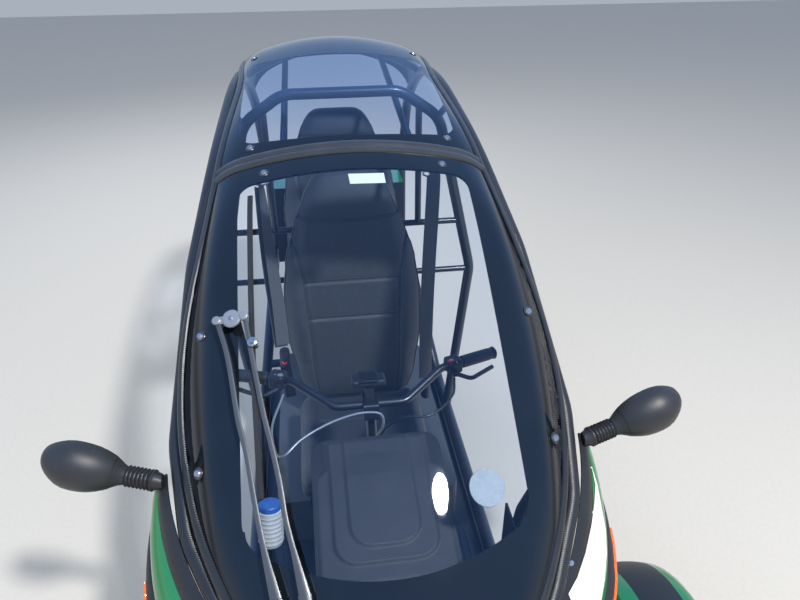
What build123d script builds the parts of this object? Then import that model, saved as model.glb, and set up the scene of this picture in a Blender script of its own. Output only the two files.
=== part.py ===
from build123d import *
import os
from math import cos, pi, sin

os.makedirs("parts", exist_ok=True)

# Millimetres. +X is the vehicle's left, +Y points to its rear, +Z is up.
# The origin is on the ground, at the middle of the length and the width.

# Overall sizes and wheels
LENGTH = 2870.0
WIDTH = 1549.0
HEIGHT = 1651.0
FRONT_AXLE_Y = -1000.0
WHEELBASE = 2032.0
REAR_AXLE_Y = FRONT_AXLE_Y + WHEELBASE
NOSE_Y = -LENGTH / 2
REAR_Y = LENGTH / 2 - 6
GLASS_FOOT = 764.0
DRAWN_HEIGHT = 1651.0
TYRE_RADIUS = 280.0
TYRE_WIDTH = 150.0
RIM_RADIUS = 183.0
RIM_WALL = 5.0
HUB_RADIUS = 48.0
SPINDLE_RADIUS = 17.5
RUN_FIT = 0.1
SEAT_GAP = 0.3
SPOKES = 6
SPOKE_WIDTH = 34.0
DISC_RADIUS = 112.0
DISC_THICK = 5.0
RIM_HALF = TYRE_WIDTH / 2 - 6
HUB_OUTER = RIM_HALF - 18
HUB_INNER = HUB_OUTER - 62
DISC_X = HUB_INNER - DISC_THICK / 2

# Front fenders
FENDER_GAP = 26.0
FENDER_WALL = 3.5
FENDER_HALF = 104.0
FENDER_REAR_ANGLE = 4.0
FENDER_FRONT_ANGLE = 150.0
FENDER_SKIRT = 62.0
FENDER_LIP = 16.0
FENDER_ROUND = 44.0
FENDER_CROWN = 9.0
FENDER_X = WIDTH / 2 - FENDER_HALF
KINGPIN_INSET = 65.0
KINGPIN_X = FENDER_X - KINGPIN_INSET

# Front suspension and drive
LOWER_BALL_Z = 168.0
UPPER_BALL_Z = 404.0
BALL_RADIUS = 15.0
BOSS_LENGTH = 22.0
STUD_RADIUS = 6.0
STUD_LENGTH = 34.0
STAY_BEHIND = 74.0
STAY_RADIUS = 7.0
ARM_TUBE = 13.0
BUSH_RADIUS = 19.0
BUSH_LENGTH = 40.0
LOWER_FRONT_SPREAD = 168.0
REAR_SPREAD = 104.0
UPPER_SPREAD = 40.0
LOWER_PIVOT_X = 215.0
LOWER_PIVOT_Z = 212.0
UPPER_PIVOT_X = 235.0
UPPER_PIVOT_Z = 400.0
COIL_RADIUS = 30.0
COIL_LOW_X = 430.0
COIL_HIGH_X = 300.0
COIL_HIGH_Z = 580.0
EYE_RADIUS = 13.0
SHAFT_RADIUS = 13.0
BOOT_RADIUS = 34.0
CUP_RADIUS = 36.0
SHAFT_START = 225.0
DRIVE_HALF = 158.0
MOTOR_RADIUS = 66.0
MOTOR_Z = 318.0

# Steering
COLUMN_TOP = (0.0, -505.0, 905.0)
COLUMN_FOOT = (0.0, -668.0, 246.0)
STEM_RADIUS = 14.0
BAR_RADIUS = 11.0
BAR_ELBOW = (205.0, -432.0, 968.0)
BAR_BEND = 45.0
GRIP_RADIUS = 16.5
GRIP_LENGTH = 112.0
GRIP_END = (368.0, -372.0, 962.0)
TIE_OFFSET = 100.0
TIE_Z = 292.0
RACK_RADIUS = 12.0
RACK_HALF = 290.0
RACK_CASE = 150.0

# Frame tubes
RAIL_RADIUS = 20.0
SIDE_TUBE_RADIUS = 22.0
HOOP_RADIUS = 18.0
HOOP_Y = 280.0
HOOP_BAR_RADIUS = 11.0
HOOP_BARS = (894.0, 1092.0)
HEAD_POST_X = 253.0
STRINGER_RADIUS = 11.0
BOW_RADIUS = 13.0
SILL_X = 385.0
SILL_Z = 232.0
TAIL_TUBE_X = 314.0
TAIL_TUBE_Z = 600.0
TAIL_TUBE_END = REAR_Y - 129
PIVOT_Y = 575.0
PIVOT_Z = 315.0
PIVOT_HALF = 180.0
SHOCK_FOOT = (0.0, 668.0, 310.0)
SHOCK_TOP = (0.0, 770.0, 500.0)

# Tub
TUB_FRONT = -856.0
STRUT_Y = -872.0
STRUT_RADIUS = 11.0
TUB_REAR = 560.0
TUB_TOP = 640.0

# Body skins
GLASS_WALL = 5.0
PANEL_WALL = 4.0
TUB_HALF = SILL_X - SIDE_TUBE_RADIUS - SEAT_GAP
TUB_WALL = 6.0
FLOOR_Z = 200.0
FLOOR_WALL = 14.0
BATTERY_TOP = 400.0

# Nose mask and headlamps
MASK_Y = NOSE_Y + 23
HOOD_REAR_Y = -1190.0
HOOD_TOP = 804.0
HOOD_BOTTOM = 430.0
MASK_WALL = 8.0
CHIN_HALF = 150.0
CHIN_BOTTOM = 330.0
LAMP_X = 92.0
LAMP_Z = 512.0
LAMP_RADIUS = 52.0

# Mirrors
STALK_X = 508.7
STALK_END_X = 576.0
STALK_Z = 966.0
STALK_RIBS = 7
HEAD_WAY = (0.92, 0.12, 0.37)

# Trunk
TRUNK_HALF = TAIL_TUBE_X - RAIL_RADIUS - SEAT_GAP
TRUNK_FRONT = 930.0
TRUNK_BOTTOM = 640.0
TRUNK_TOP = 1000.0
TRUNK_WALL = 5.0
TRUNK_CORNER = 30.0
LAMP_BAND = (740.0, 800.0)
LAMP_AT = 200.0
LAMP_HALF = 46.0
LID_FRONT_Y = REAR_Y - 309
LID_REAR_Y = REAR_Y - 39
LID_REAR_Z = 890.0
LID_GAP = 0.5
LID_WALL = 5.0
LID_HALF = 255.0
HINGE_X = 180.0
HINGE_RADIUS = 7.0
PIN_RADIUS = 4.0
REAR_FENDER_HALF = 98.0
PLATE_HALF = 92.0
PLATE_BOLT_X = 60.0
PLATE_BOLT_Z = 400.0
PLATE_HOLE = 3.5

# Seats
SEAT_FOAM = 95.0
SEAT_RECLINE = 13.0
CUSHION = 105.0
CUSHION_HALF = 228.0
SEAT_BASE_HALF = 190.0
SEAT_BASE_WALL = 14.0

# Console
CONSOLE_HALF = 120.0
CONSOLE_LID_HALF = 165.0
CONSOLE_LID_WALL = 22.0
CONSOLE_HIGH = (-588.0, 869.0)
CONSOLE_LOW = (-968.0, 761.5)


def rise(z):
    """Height of a drawn point above the glass foot when the vehicle is made taller or lower."""
    if z <= GLASS_FOOT:
        return z
    return GLASS_FOOT + (z - GLASS_FOOT) * (HEIGHT - GLASS_FOOT) / (DRAWN_HEIGHT - GLASS_FOOT)


def save(name, shape):
    """Write one node."""
    if isinstance(shape, ShapeList):
        shape = Compound(children=list(shape))
    export_step(shape, f"parts/{name}.step")


def both(stem, shape):
    """Write a left-hand piece and its mirror image."""
    save(stem + "_left", shape)
    save(stem + "_right", shape.mirror(Plane.YZ))


def tube(points, radius, bend):
    """Round bar along straight runs joined by tangent arcs."""
    if len(points) > 2:
        path = FilletPolyline(*points, radius=bend)
    else:
        path = Line(*points)
    end = Plane(origin=path @ 0, z_dir=path % 0)
    return sweep(end * Circle(radius), path=path)


def rod(start, stop, radius):
    """Straight round bar between two points."""
    start, stop = Vector(*start), Vector(*stop)
    along = stop - start
    return Plane(origin=start, z_dir=along) * Cylinder(
        radius, along.length, align=(Align.CENTER, Align.CENTER, Align.MIN)
    )


def turned(origin, axis, profile):
    """Solid of revolution: profile holds (distance along axis, radius) pairs."""
    origin, axis = Vector(*origin), Vector(*axis).normalized()
    frame = Plane(origin=origin, z_dir=axis)
    points = [(0, profile[0][0])] + [(r, a) for a, r in profile] + [(0, profile[-1][0])]
    outline = make_face(Polyline(*points, close=True))
    solid = revolve(Plane.XZ * outline, axis=Axis.Z)
    return frame * solid


def box(low, high):
    """Box between two corners."""
    size = [b - a for a, b in zip(low, high)]
    return Pos(*low) * Box(*size, align=(Align.MIN, Align.MIN, Align.MIN))


def arch_section(y, edge, shoulder, crown, wall):
    """Closed outline across the body of a thin arched skin: a wide centre arc and two tight sides."""
    (edge_x, edge_z), (shoulder_x, shoulder_z) = edge, shoulder
    sag = crown - shoulder_z
    wide = (shoulder_x ** 2 + sag ** 2) / (2 * sag)
    centre = Vector(0, y, crown - wide)
    normal = (Vector(shoulder_x, y, shoulder_z) - centre).normalized()
    chord = Vector(edge_x - shoulder_x, 0, edge_z - shoulder_z)
    tight = -chord.dot(chord) / (2 * normal.dot(chord))
    side = Vector(shoulder_x, y, shoulder_z) - normal * tight
    edge_way = (Vector(edge_x, y, edge_z) - side).normalized()
    mid_way = (normal + edge_way).normalized()

    def points(depth):
        shoulder_at = centre + normal * (wide - depth)
        return [
            side + edge_way * (tight - depth),
            side + mid_way * (tight - depth),
            shoulder_at,
            Vector(0, y, crown - depth),
        ]

    def flip(point):
        return Vector(-point.X, point.Y, point.Z)

    edges = []
    rows = [points(0), points(wall)]
    for edge_at, mid, shoulder_at, top in rows:
        edges.append(ThreePointArc(flip(edge_at), flip(mid), flip(shoulder_at)))
        edges.append(ThreePointArc(flip(shoulder_at), top, shoulder_at))
        edges.append(ThreePointArc(shoulder_at, mid, edge_at))
    outer, inner = rows[0][0], rows[1][0]
    edges.append(Line(outer, inner))
    edges.append(Line(flip(outer), flip(inner)))
    return make_face(edges)


def strip_section(y, top, middle, bottom, wall):
    """Closed outline across a curved side skin: one arc through three points, and its inner twin."""
    (ax, az), (bx, bz), (cx, cz) = top, middle, bottom
    d = 2 * (ax * (bz - cz) + bx * (cz - az) + cx * (az - bz))
    ux = ((ax**2 + az**2) * (bz - cz) + (bx**2 + bz**2) * (cz - az) + (cx**2 + cz**2) * (az - bz)) / d
    uz = ((ax**2 + az**2) * (cx - bx) + (bx**2 + bz**2) * (ax - cx) + (cx**2 + cz**2) * (bx - ax)) / d
    hub = Vector(ux, y, uz)
    outer = [Vector(x, y, z) for x, z in (top, middle, bottom)]
    inner = [hub + (p - hub) * ((p - hub).length - wall) * (1 / (p - hub).length) for p in outer]
    return make_face(
        [
            ThreePointArc(*outer),
            ThreePointArc(*inner),
            Line(outer[0], inner[0]),
            Line(outer[2], inner[2]),
        ]
    )


# Wheels: tyre, rim and brake disc, made about the origin and then moved to their axles
def tyre():
    """Road tyre with a rounded tread and a bead seated on the rim."""
    half, bead, tread = TYRE_WIDTH / 2, RIM_RADIUS + SEAT_GAP, TYRE_RADIUS
    with BuildPart() as ring:
        with BuildSketch(Plane.XY):
            with BuildLine():
                Polyline((half - 14, bead), (-half + 14, bead))
                ThreePointArc((-half + 14, bead), (-half, (bead + tread) / 2), (-half + 20, tread - 12))
                ThreePointArc((-half + 20, tread - 12), (0, tread), (half - 20, tread - 12))
                ThreePointArc((half - 20, tread - 12), (half, (bead + tread) / 2), (half - 14, bead))
            make_face()
        revolve(axis=Axis.X)
    return ring.part


def rim(spindle_side):
    """Alloy wheel: barrel, hub and spokes. spindle_side is +1 where the hub's outer face looks to +X."""
    half = RIM_HALF
    barrel = Cylinder(RIM_RADIUS, 2 * half, rotation=(0, 90, 0))
    barrel -= Cylinder(RIM_RADIUS - RIM_WALL, 2 * half + 2, rotation=(0, 90, 0))
    for side in (-1, 1):
        flange = Cylinder(RIM_RADIUS + 9, 5, rotation=(0, 90, 0))
        flange -= Cylinder(RIM_RADIUS - RIM_WALL, 7, rotation=(0, 90, 0))
        barrel += Pos(side * (half + 2.5), 0, 0) * flange
    hub = Pos((HUB_OUTER + HUB_INNER) / 2, 0, 0) * Cylinder(
        HUB_RADIUS, HUB_OUTER - HUB_INNER, rotation=(0, 90, 0)
    )
    spoke = Pos(HUB_OUTER - 16, 0, (HUB_RADIUS + RIM_RADIUS - RIM_WALL) / 2) * Box(
        18, SPOKE_WIDTH, RIM_RADIUS - RIM_WALL - HUB_RADIUS + 8
    )
    wheel = barrel + hub
    for index in range(SPOKES):
        wheel += Rot(index * 360 / SPOKES, 0, 0) * spoke
    wheel -= Cylinder(SPINDLE_RADIUS + RUN_FIT, 3 * half, rotation=(0, 90, 0))
    if spindle_side < 0:
        wheel = wheel.mirror(Plane.YZ)
    return wheel


def brake_disc():
    """Brake disc on its carrier, with a ring of slots between them."""
    disc = Cylinder(DISC_RADIUS, DISC_THICK, rotation=(0, 90, 0))
    disc -= Cylinder(HUB_RADIUS - 12, DISC_THICK + 2, rotation=(0, 90, 0))
    window = Pos(0, 0, 66) * Cylinder(9, DISC_THICK + 2, rotation=(0, 90, 0))
    for index in range(8):
        disc -= Rot(index * 45, 0, 0) * window
    return disc


# name, centre x, centre y, side that the spoked face looks to
WHEELS = (
    ("front_left", FENDER_X, FRONT_AXLE_Y, 1),
    ("front_right", -FENDER_X, FRONT_AXLE_Y, -1),
    ("rear", 0.0, REAR_AXLE_Y, 1),
)
for name, wheel_x, wheel_y, face in WHEELS:
    at_wheel = Pos(wheel_x, wheel_y, TYRE_RADIUS)
    save(f"tyre_{name}", at_wheel * tyre())
    save(f"rim_{name}", at_wheel * (rim(face) + Pos(face * DISC_X, 0, 0) * brake_disc()))


# Knuckles, fenders and their stays, one side and its mirror
def knuckle():
    """Upright with its ball bosses, drive cup, spindle, steering arm and brake caliper."""
    x = KINGPIN_X
    disc_x = FENDER_X + DISC_X
    boss_end = disc_x - DISC_THICK / 2 - 4
    upright = box((x - 24, FRONT_AXLE_Y - 30, LOWER_BALL_Z + 24), (x - 2, FRONT_AXLE_Y + 30, UPPER_BALL_Z - 24))
    for z, way in ((LOWER_BALL_Z, 1), (UPPER_BALL_Z, -1)):
        middle = z + way * (BALL_RADIUS + 1 + BOSS_LENGTH / 2)
        upright += Pos(x, FRONT_AXLE_Y, middle) * Cylinder(17, BOSS_LENGTH)
    upright += rod((x - 24, FRONT_AXLE_Y, TYRE_RADIUS), (boss_end, FRONT_AXLE_Y, TYRE_RADIUS), CUP_RADIUS + 7)
    nut_x = FENDER_X + HUB_OUTER + 2
    upright += rod((boss_end - 10, FRONT_AXLE_Y, TYRE_RADIUS), (nut_x + 8, FRONT_AXLE_Y, TYRE_RADIUS), SPINDLE_RADIUS)
    upright += rod((nut_x, FRONT_AXLE_Y, TYRE_RADIUS), (nut_x + 14, FRONT_AXLE_Y, TYRE_RADIUS), 26)
    upright += box((x - 22, FRONT_AXLE_Y + 20, TIE_Z - 8), (x - 4, FRONT_AXLE_Y + TIE_OFFSET - 6, TIE_Z + 8))
    upright += Pos(x, FRONT_AXLE_Y + TIE_OFFSET, TIE_Z) * Cylinder(14, 16)
    upright -= rod((x - 60, FRONT_AXLE_Y, TYRE_RADIUS), (x + 26, FRONT_AXLE_Y, TYRE_RADIUS), CUP_RADIUS)
    for z, way in ((LOWER_BALL_Z, 1), (UPPER_BALL_Z, -1)):
        upright -= rod((x, FRONT_AXLE_Y, z), (x, FRONT_AXLE_Y, z + way * (STUD_LENGTH + 2)), STUD_RADIUS + RUN_FIT)
    caliper_y = FRONT_AXLE_Y - 96
    caliper = box((disc_x - 28, caliper_y - 30, TYRE_RADIUS - 38), (disc_x + 24, caliper_y + 22, TYRE_RADIUS + 38))
    caliper = fillet(caliper.edges().filter_by(Axis.X), 10)
    slot = DISC_THICK / 2 + 3
    caliper -= box((disc_x - slot, caliper_y - 18, TYRE_RADIUS - 60), (disc_x + slot, caliper_y + 40, TYRE_RADIUS + 60))
    arm = box((x - 20, caliper_y - 6, TYRE_RADIUS - 12), (disc_x - 20, FRONT_AXLE_Y - 26, TYRE_RADIUS + 12))
    arm -= rod((x - 60, FRONT_AXLE_Y, TYRE_RADIUS), (x + 60, FRONT_AXLE_Y, TYRE_RADIUS), CUP_RADIUS + 1)
    return upright + caliper + arm


def fender():
    """Cycle fender: crowned top, a small lip inside and a deep rounded skirt outside."""
    base = TYRE_RADIUS + FENDER_GAP

    def section(depth):
        top = base + FENDER_WALL - depth
        half = FENDER_HALF - depth
        lip, skirt = FENDER_LIP - depth, FENDER_ROUND - depth
        return [
            Line((-half, top - FENDER_LIP - 12), (-half, top - lip)),
            ThreePointArc(
                (-half, top - lip),
                (-half + lip * (1 - cos(pi / 4)), top - lip * (1 - sin(pi / 4))),
                (-half + lip, top),
            ),
            ThreePointArc((-half + lip, top), ((lip - skirt) / 2, top + FENDER_CROWN), (half - skirt, top)),
            ThreePointArc(
                (half - skirt, top),
                (half - skirt * (1 - cos(pi / 4)), top - skirt * (1 - sin(pi / 4))),
                (half, top - skirt),
            ),
            Line((half, top - skirt), (half, base - FENDER_SKIRT)),
        ]

    outer, inner = section(0), section(FENDER_WALL)
    edges = outer + inner
    edges.append(Line(outer[0] @ 0, inner[0] @ 0))
    edges.append(Line(outer[-1] @ 1, inner[-1] @ 1))
    shell = revolve(
        make_face(edges), axis=Axis.X, revolution_arc=FENDER_FRONT_ANGLE - FENDER_REAR_ANGLE
    )
    return Rot(FENDER_REAR_ANGLE, 0, 0) * shell


def fender_stay():
    """Bracket from the knuckle's top up the tyre's inner side to the fender's lip."""
    x = KINGPIN_X - 13
    lip_x = FENDER_X - FENDER_HALF
    top_z = 2 * TYRE_RADIUS + FENDER_GAP - 22
    outer_x = lip_x - 7 - SEAT_GAP
    behind = FRONT_AXLE_Y + STAY_BEHIND
    return tube(
        [
            (x, FRONT_AXLE_Y + 16, UPPER_BALL_Z - 66),
            (x, behind, UPPER_BALL_Z - 56),
            (outer_x, behind, UPPER_BALL_Z + 22),
            (outer_x, behind, top_z),
        ],
        STAY_RADIUS,
        16,
    )


both("knuckle", knuckle() + fender_stay())
both("fender", Pos(FENDER_X, FRONT_AXLE_Y, TYRE_RADIUS) * fender())


# Front subframe, drive unit and wishbones
# pivot x, pivot z, ball z, forward spread, rearward spread
ARMS = (
    (LOWER_PIVOT_X, LOWER_PIVOT_Z, LOWER_BALL_Z, LOWER_FRONT_SPREAD, REAR_SPREAD),
    (UPPER_PIVOT_X, UPPER_PIVOT_Z, UPPER_BALL_Z, UPPER_SPREAD, UPPER_SPREAD),
)


def wishbone(pivot_x, pivot_z, ball_z, ahead, behind):
    """A-arm: two tubes from the chassis bushes to one ball joint, whose stud stands in the knuckle."""
    ball = (KINGPIN_X, FRONT_AXLE_Y, ball_z)
    arm = Pos(*ball) * Sphere(BALL_RADIUS)
    way = 1 if ball_z < TYRE_RADIUS else -1
    arm += rod(ball, (KINGPIN_X, FRONT_AXLE_Y, ball_z + way * STUD_LENGTH), STUD_RADIUS)
    for y in (FRONT_AXLE_Y - ahead, FRONT_AXLE_Y + behind):
        arm += rod(ball, (pivot_x, y, pivot_z), ARM_TUBE)
        arm += Pos(pivot_x, y, pivot_z) * Cylinder(BUSH_RADIUS, BUSH_LENGTH, rotation=(90, 0, 0))
    return arm


def coilover(low, high, turns):
    """Spring and damper between two eyes, the spring as a fluted sleeve."""
    low, high = Vector(*low), Vector(*high)
    way = (high - low).normalized()
    length = (high - low).length
    start, stop = 44, length - 44
    pitch = (stop - start) / turns
    flutes = [(0, COIL_RADIUS - 8)]
    for index in range(turns):
        flutes += [((index + 0.5) * pitch, COIL_RADIUS), ((index + 1) * pitch, COIL_RADIUS - 8)]
    strut = rod(low + way * 6, high - way * 6, 10)
    strut += turned(low + way * start, way, flutes)
    for at in (start - 7, stop):
        strut += rod(low + way * at, low + way * (at + 7), COIL_RADIUS + 3)
    strut += rod(low + way * 12, low + way * (start - 4), 20)
    for eye in (low, high):
        strut += Pos(*eye) * Cylinder(EYE_RADIUS, 26, rotation=(90, 0, 0) if abs(way.X) > 0.1 else (0, 90, 0))
    return strut


def halfshaft():
    """Drive shaft with a ribbed boot at its inner end and its outer ball in the knuckle's cup."""
    start = Vector(SHAFT_START, FRONT_AXLE_Y, TYRE_RADIUS)
    ball = Vector(KINGPIN_X, FRONT_AXLE_Y, TYRE_RADIUS)
    boot = [(0, BOOT_RADIUS), (14, BOOT_RADIUS), (22, 24), (30, 30), (38, 21), (46, 27), (54, SHAFT_RADIUS)]
    return rod(start, ball, SHAFT_RADIUS) + turned(start, (1, 0, 0), boot) + Pos(*ball) * Sphere(22)


arms = [wishbone(*row) for row in ARMS]
save("wishbones", Compound(children=arms + [arm.mirror(Plane.YZ) for arm in arms]))

lower_run = (KINGPIN_X - COIL_LOW_X) / (KINGPIN_X - LOWER_PIVOT_X)
coil_low = (
    COIL_LOW_X,
    FRONT_AXLE_Y - lower_run * LOWER_FRONT_SPREAD,
    LOWER_BALL_Z + lower_run * (LOWER_PIVOT_Z - LOWER_BALL_Z) + ARM_TUBE + EYE_RADIUS + 1.2,
)
coil_high = (COIL_HIGH_X, coil_low[1], COIL_HIGH_Z)
front_coil = coilover(coil_low, coil_high, 8)
save("coilovers", Compound(children=[front_coil, front_coil.mirror(Plane.YZ)]))
shaft = halfshaft()
save("halfshafts", Compound(children=[shaft, shaft.mirror(Plane.YZ)]))

drive = box((-DRIVE_HALF, FRONT_AXLE_Y - 56, 240), (DRIVE_HALF, FRONT_AXLE_Y + 40, 350))
drive = fillet(drive.edges().filter_by(Axis.X), 30)
drive += rod(
    (-SHAFT_START + SEAT_GAP, FRONT_AXLE_Y, TYRE_RADIUS), (SHAFT_START - SEAT_GAP, FRONT_AXLE_Y, TYRE_RADIUS), 30
)
for side in (-1, 1):
    drive += rod(
        (side * 12, FRONT_AXLE_Y - 14, MOTOR_Z), (side * DRIVE_HALF, FRONT_AXLE_Y - 14, MOTOR_Z), MOTOR_RADIUS
    )
    foot = box(
        (DRIVE_HALF - 10, FRONT_AXLE_Y - 40, LOWER_PIVOT_Z + 14 + SEAT_GAP), (DRIVE_HALF + 30, FRONT_AXLE_Y + 20, 262)
    )
    drive += foot if side > 0 else foot.mirror(Plane.YZ)
save("drive_unit", drive)

# Subframe: two rails a side, struts and cross tubes; its rear end meets the tub
FRAME_AHEAD = FRONT_AXLE_Y - LOWER_FRONT_SPREAD - 36
subframe = Part()
low_x, high_x = LOWER_PIVOT_X - BUSH_RADIUS - 15, UPPER_PIVOT_X - BUSH_RADIUS - 15
for side in (-1, 1):
    for row_x, (pivot_x, pivot_z, ball_z, ahead, behind) in zip((low_x, high_x), ARMS):
        subframe += rod(
            (side * row_x, FRAME_AHEAD, pivot_z), (side * row_x, TUB_FRONT - SEAT_GAP, pivot_z), 14
        )
        for y in (FRONT_AXLE_Y - ahead, FRONT_AXLE_Y + behind):
            lug = box((row_x, y - 18, pivot_z - 9), (pivot_x - BUSH_RADIUS - SEAT_GAP, y + 18, pivot_z + 9))
            subframe += lug if side > 0 else lug.mirror(Plane.YZ)
    for y in (FRAME_AHEAD + 14, STRUT_Y):
        subframe += rod((side * low_x, y, LOWER_PIVOT_Z), (side * high_x, y, UPPER_PIVOT_Z), STRUT_RADIUS)
    subframe += rod(
        (side * high_x, coil_high[1], UPPER_PIVOT_Z), (side * (COIL_HIGH_X - 34), coil_high[1], COIL_HIGH_Z - 6), 13
    )
    subframe += rod(
        (side * high_x, STRUT_Y, UPPER_PIVOT_Z), (side * (COIL_HIGH_X - 34), coil_high[1], COIL_HIGH_Z - 6), 10
    )
    subframe += rod(
        (side * (COIL_HIGH_X - 40), coil_high[1], COIL_HIGH_Z - 3),
        (side * (COIL_HIGH_X - EYE_RADIUS - SEAT_GAP), coil_high[1], COIL_HIGH_Z),
        10,
    )
for row_x, row_z in ((low_x, LOWER_PIVOT_Z), (high_x, UPPER_PIVOT_Z)):
    for y in (FRAME_AHEAD + 14, STRUT_Y):
        subframe += rod((-row_x, y, row_z), (row_x, y, row_z), STRUT_RADIUS)
subframe += rod(
    (-(COIL_HIGH_X - 40), coil_high[1], COIL_HIGH_Z - 6), (COIL_HIGH_X - 40, coil_high[1], COIL_HIGH_Z - 6), 12
)
save("front_subframe", subframe)

# Steering: column and handlebar, rack with its tie rods
top, foot = Vector(*COLUMN_TOP), Vector(*COLUMN_FOOT)
column_way = (top - foot).normalized()
stem = rod(foot + column_way * 4, top, STEM_RADIUS)
grip = Vector(*GRIP_END)
elbow = Vector(*BAR_ELBOW)
bar_points = [tuple(grip), tuple(elbow), (95, top.Y - 4, top.Z + 22)]
bar_points += [(-x, y, z) for x, y, z in reversed(bar_points)]
bar = tube(bar_points, BAR_RADIUS, BAR_BEND)
bar_room = tube(bar_points, BAR_RADIUS + SEAT_GAP, BAR_BEND)
clamp = Plane(origin=top, z_dir=column_way) * Pos(0, 0, 10) * Box(86, 40, 46)
clamp = fillet(clamp.edges().filter_by(Axis.X), 8)
handlebar = stem + bar + clamp
save("handlebar", handlebar)
grip_way = (elbow - grip).normalized()
cap = grip - grip_way * 6
grip_sleeve = turned(cap, grip_way, [(0, 14), (4, GRIP_RADIUS + 2), (12, GRIP_RADIUS), (GRIP_LENGTH, GRIP_RADIUS)])
grip_sleeve -= rod(grip - grip_way * SEAT_GAP, grip + grip_way * 300, BAR_RADIUS + SEAT_GAP)
pod_at = grip + grip_way * (GRIP_LENGTH + 22)
pod = Plane(origin=pod_at, z_dir=grip_way) * Box(44, 42, 44)
pod = fillet(pod.edges(), 8)
pod += rod(pod_at + Vector(0, -12, -6), pod_at + Vector(0, -38, -6), 9)
lever_points = [pod_at + Vector(0, -34, -6), pod_at + Vector(40, -58, -10), grip + Vector(-14, -52, -10)]
pod += tube([tuple(point) for point in lever_points], 6, 20)
pod -= bar_room
controls = [grip_sleeve, pod]
save("bar_controls", Compound(children=controls + [piece.mirror(Plane.YZ) for piece in controls]))
display = Plane(origin=top + column_way * 66 + Vector(0, 30, 0), z_dir=column_way) * Box(58, 92, 20)
display = fillet(display.edges(), 7)
display += Plane(origin=top + column_way * 46 + Vector(0, 8, 0), z_dir=column_way) * Box(24, 24, 30)
display -= Plane(origin=top, z_dir=column_way) * Pos(0, 0, 10) * Box(90, 44, 46 + 2 * SEAT_GAP)
save("display", display - bar_room)

rack_y, rack_z = FRONT_AXLE_Y + TIE_OFFSET, TIE_Z - 22
ball_x = KINGPIN_X
rack = rod((-RACK_HALF, rack_y, rack_z), (RACK_HALF, rack_y, rack_z), RACK_RADIUS)
for side in (-1, 1):
    rack += Pos(side * RACK_HALF, rack_y, rack_z) * Sphere(19)
    rack += rod((side * RACK_HALF, rack_y, rack_z), (side * (ball_x - 8), rack_y, rack_z), 9)
    rack += Pos(side * ball_x, rack_y, rack_z) * Cylinder(13, 22)
save("rack_and_tie_rods", rack)
housing = rod((-RACK_CASE, rack_y, rack_z), (RACK_CASE, rack_y, rack_z), 22)
for side in (-1, 1):
    foot_x = side * (low_x - 30)
    housing += box(
        (foot_x - 12, rack_y - 10, LOWER_PIVOT_Z + STRUT_RADIUS + SEAT_GAP), (foot_x + 12, STRUT_Y + 10, rack_z)
    )
housing -= rod((-400, rack_y, rack_z), (400, rack_y, rack_z), RACK_RADIUS + RUN_FIT)
save("rack_housing", housing)

# Frame: roof rails, side frames, pillars and bows. Each row is x, y, z and the bend radius there
RAIL_ROUTE = (
    (250, -1172, 748, 0),
    (342, -1035, 812, 150),
    (432, -868, 892, 200),
    (462, -690, 1004, 220),
    (428, -330, 1272, 500),
    (376, 10, 1464, 900),
    (350, 420, 1550, 900),
    (346, 830, 1530, 600),
    (330, 1070, 1330, 180),
    (TAIL_TUBE_X, 1150, 1000, 220),
    (TAIL_TUBE_X, 1160, TAIL_TUBE_Z, 0),
)
SIDE_ROUTE = (
    (446, -760, 946, 0),
    (400, -672, 640, 160),
    (SILL_X, -600, SILL_Z, 120),
    (SILL_X, 480, SILL_Z, 200),
    (322, 900, TAIL_TUBE_Z, 180),
    (TAIL_TUBE_X, TAIL_TUBE_END, TAIL_TUBE_Z, 0),
)
HOOP_ROUTE = (
    (SILL_X, HOOP_Y, SILL_Z, 0),
    (452, HOOP_Y, 900, 150),
    (322, HOOP_Y, 1470, 110),
    (190, HOOP_Y, 1560, 110),
)


def route_tube(route, radius):
    """Tube along a route table."""
    bends = [row[3] for row in route[1:-1]]
    points = [(x, y, rise(z)) for x, y, z, _ in route]
    return tube(points, radius, bends if len(bends) > 1 else bends[0])


def twin(shape):
    """A left-hand piece with its mirror image, in one compound."""
    return Compound(children=[shape, shape.mirror(Plane.YZ)])


def largest(shape):
    """The largest solid that a cut leaves."""
    return max(shape.solids(), key=lambda solid: solid.volume)


rail = route_tube(RAIL_ROUTE, RAIL_RADIUS)
rail_room = route_tube(RAIL_ROUTE, RAIL_RADIUS + SEAT_GAP)
side_frame = route_tube(SIDE_ROUTE, SIDE_TUBE_RADIUS)
side_room = route_tube(SIDE_ROUTE, SIDE_TUBE_RADIUS + SEAT_GAP)
rail_rooms = rail_room + rail_room.mirror(Plane.YZ)
side_rooms = side_room + side_room.mirror(Plane.YZ)
rail = largest(rail - side_room)
side_frame = largest(side_frame - rail_room)
both("roof_rail", rail)
both("side_frame", side_frame)


def bow(end, crown):
    """Arched bar between the two rails, from one end point and the height of its middle."""
    x, y, z = end
    path = ThreePointArc((-x, y, rise(z)), (0, y, rise(crown)), (x, y, rise(z)))
    section = Plane(origin=path @ 0, z_dir=path % 0) * Circle(BOW_RADIUS)
    return largest(sweep(section, path=path) - rail_rooms)


# Each row is the bow's end and the height of its middle
BOWS = (((388, -105, 1393), 1468), ((344, 800, 1506), 1608))
bows = Part()
for end, crown in BOWS:
    bows += bow(end, crown)
for side in (-1, 1):
    bows += rod((side * 188, -105, rise(1449)), (side * 180, 800, rise(1580)), STRINGER_RADIUS)
save("roof_bows", bows)

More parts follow.
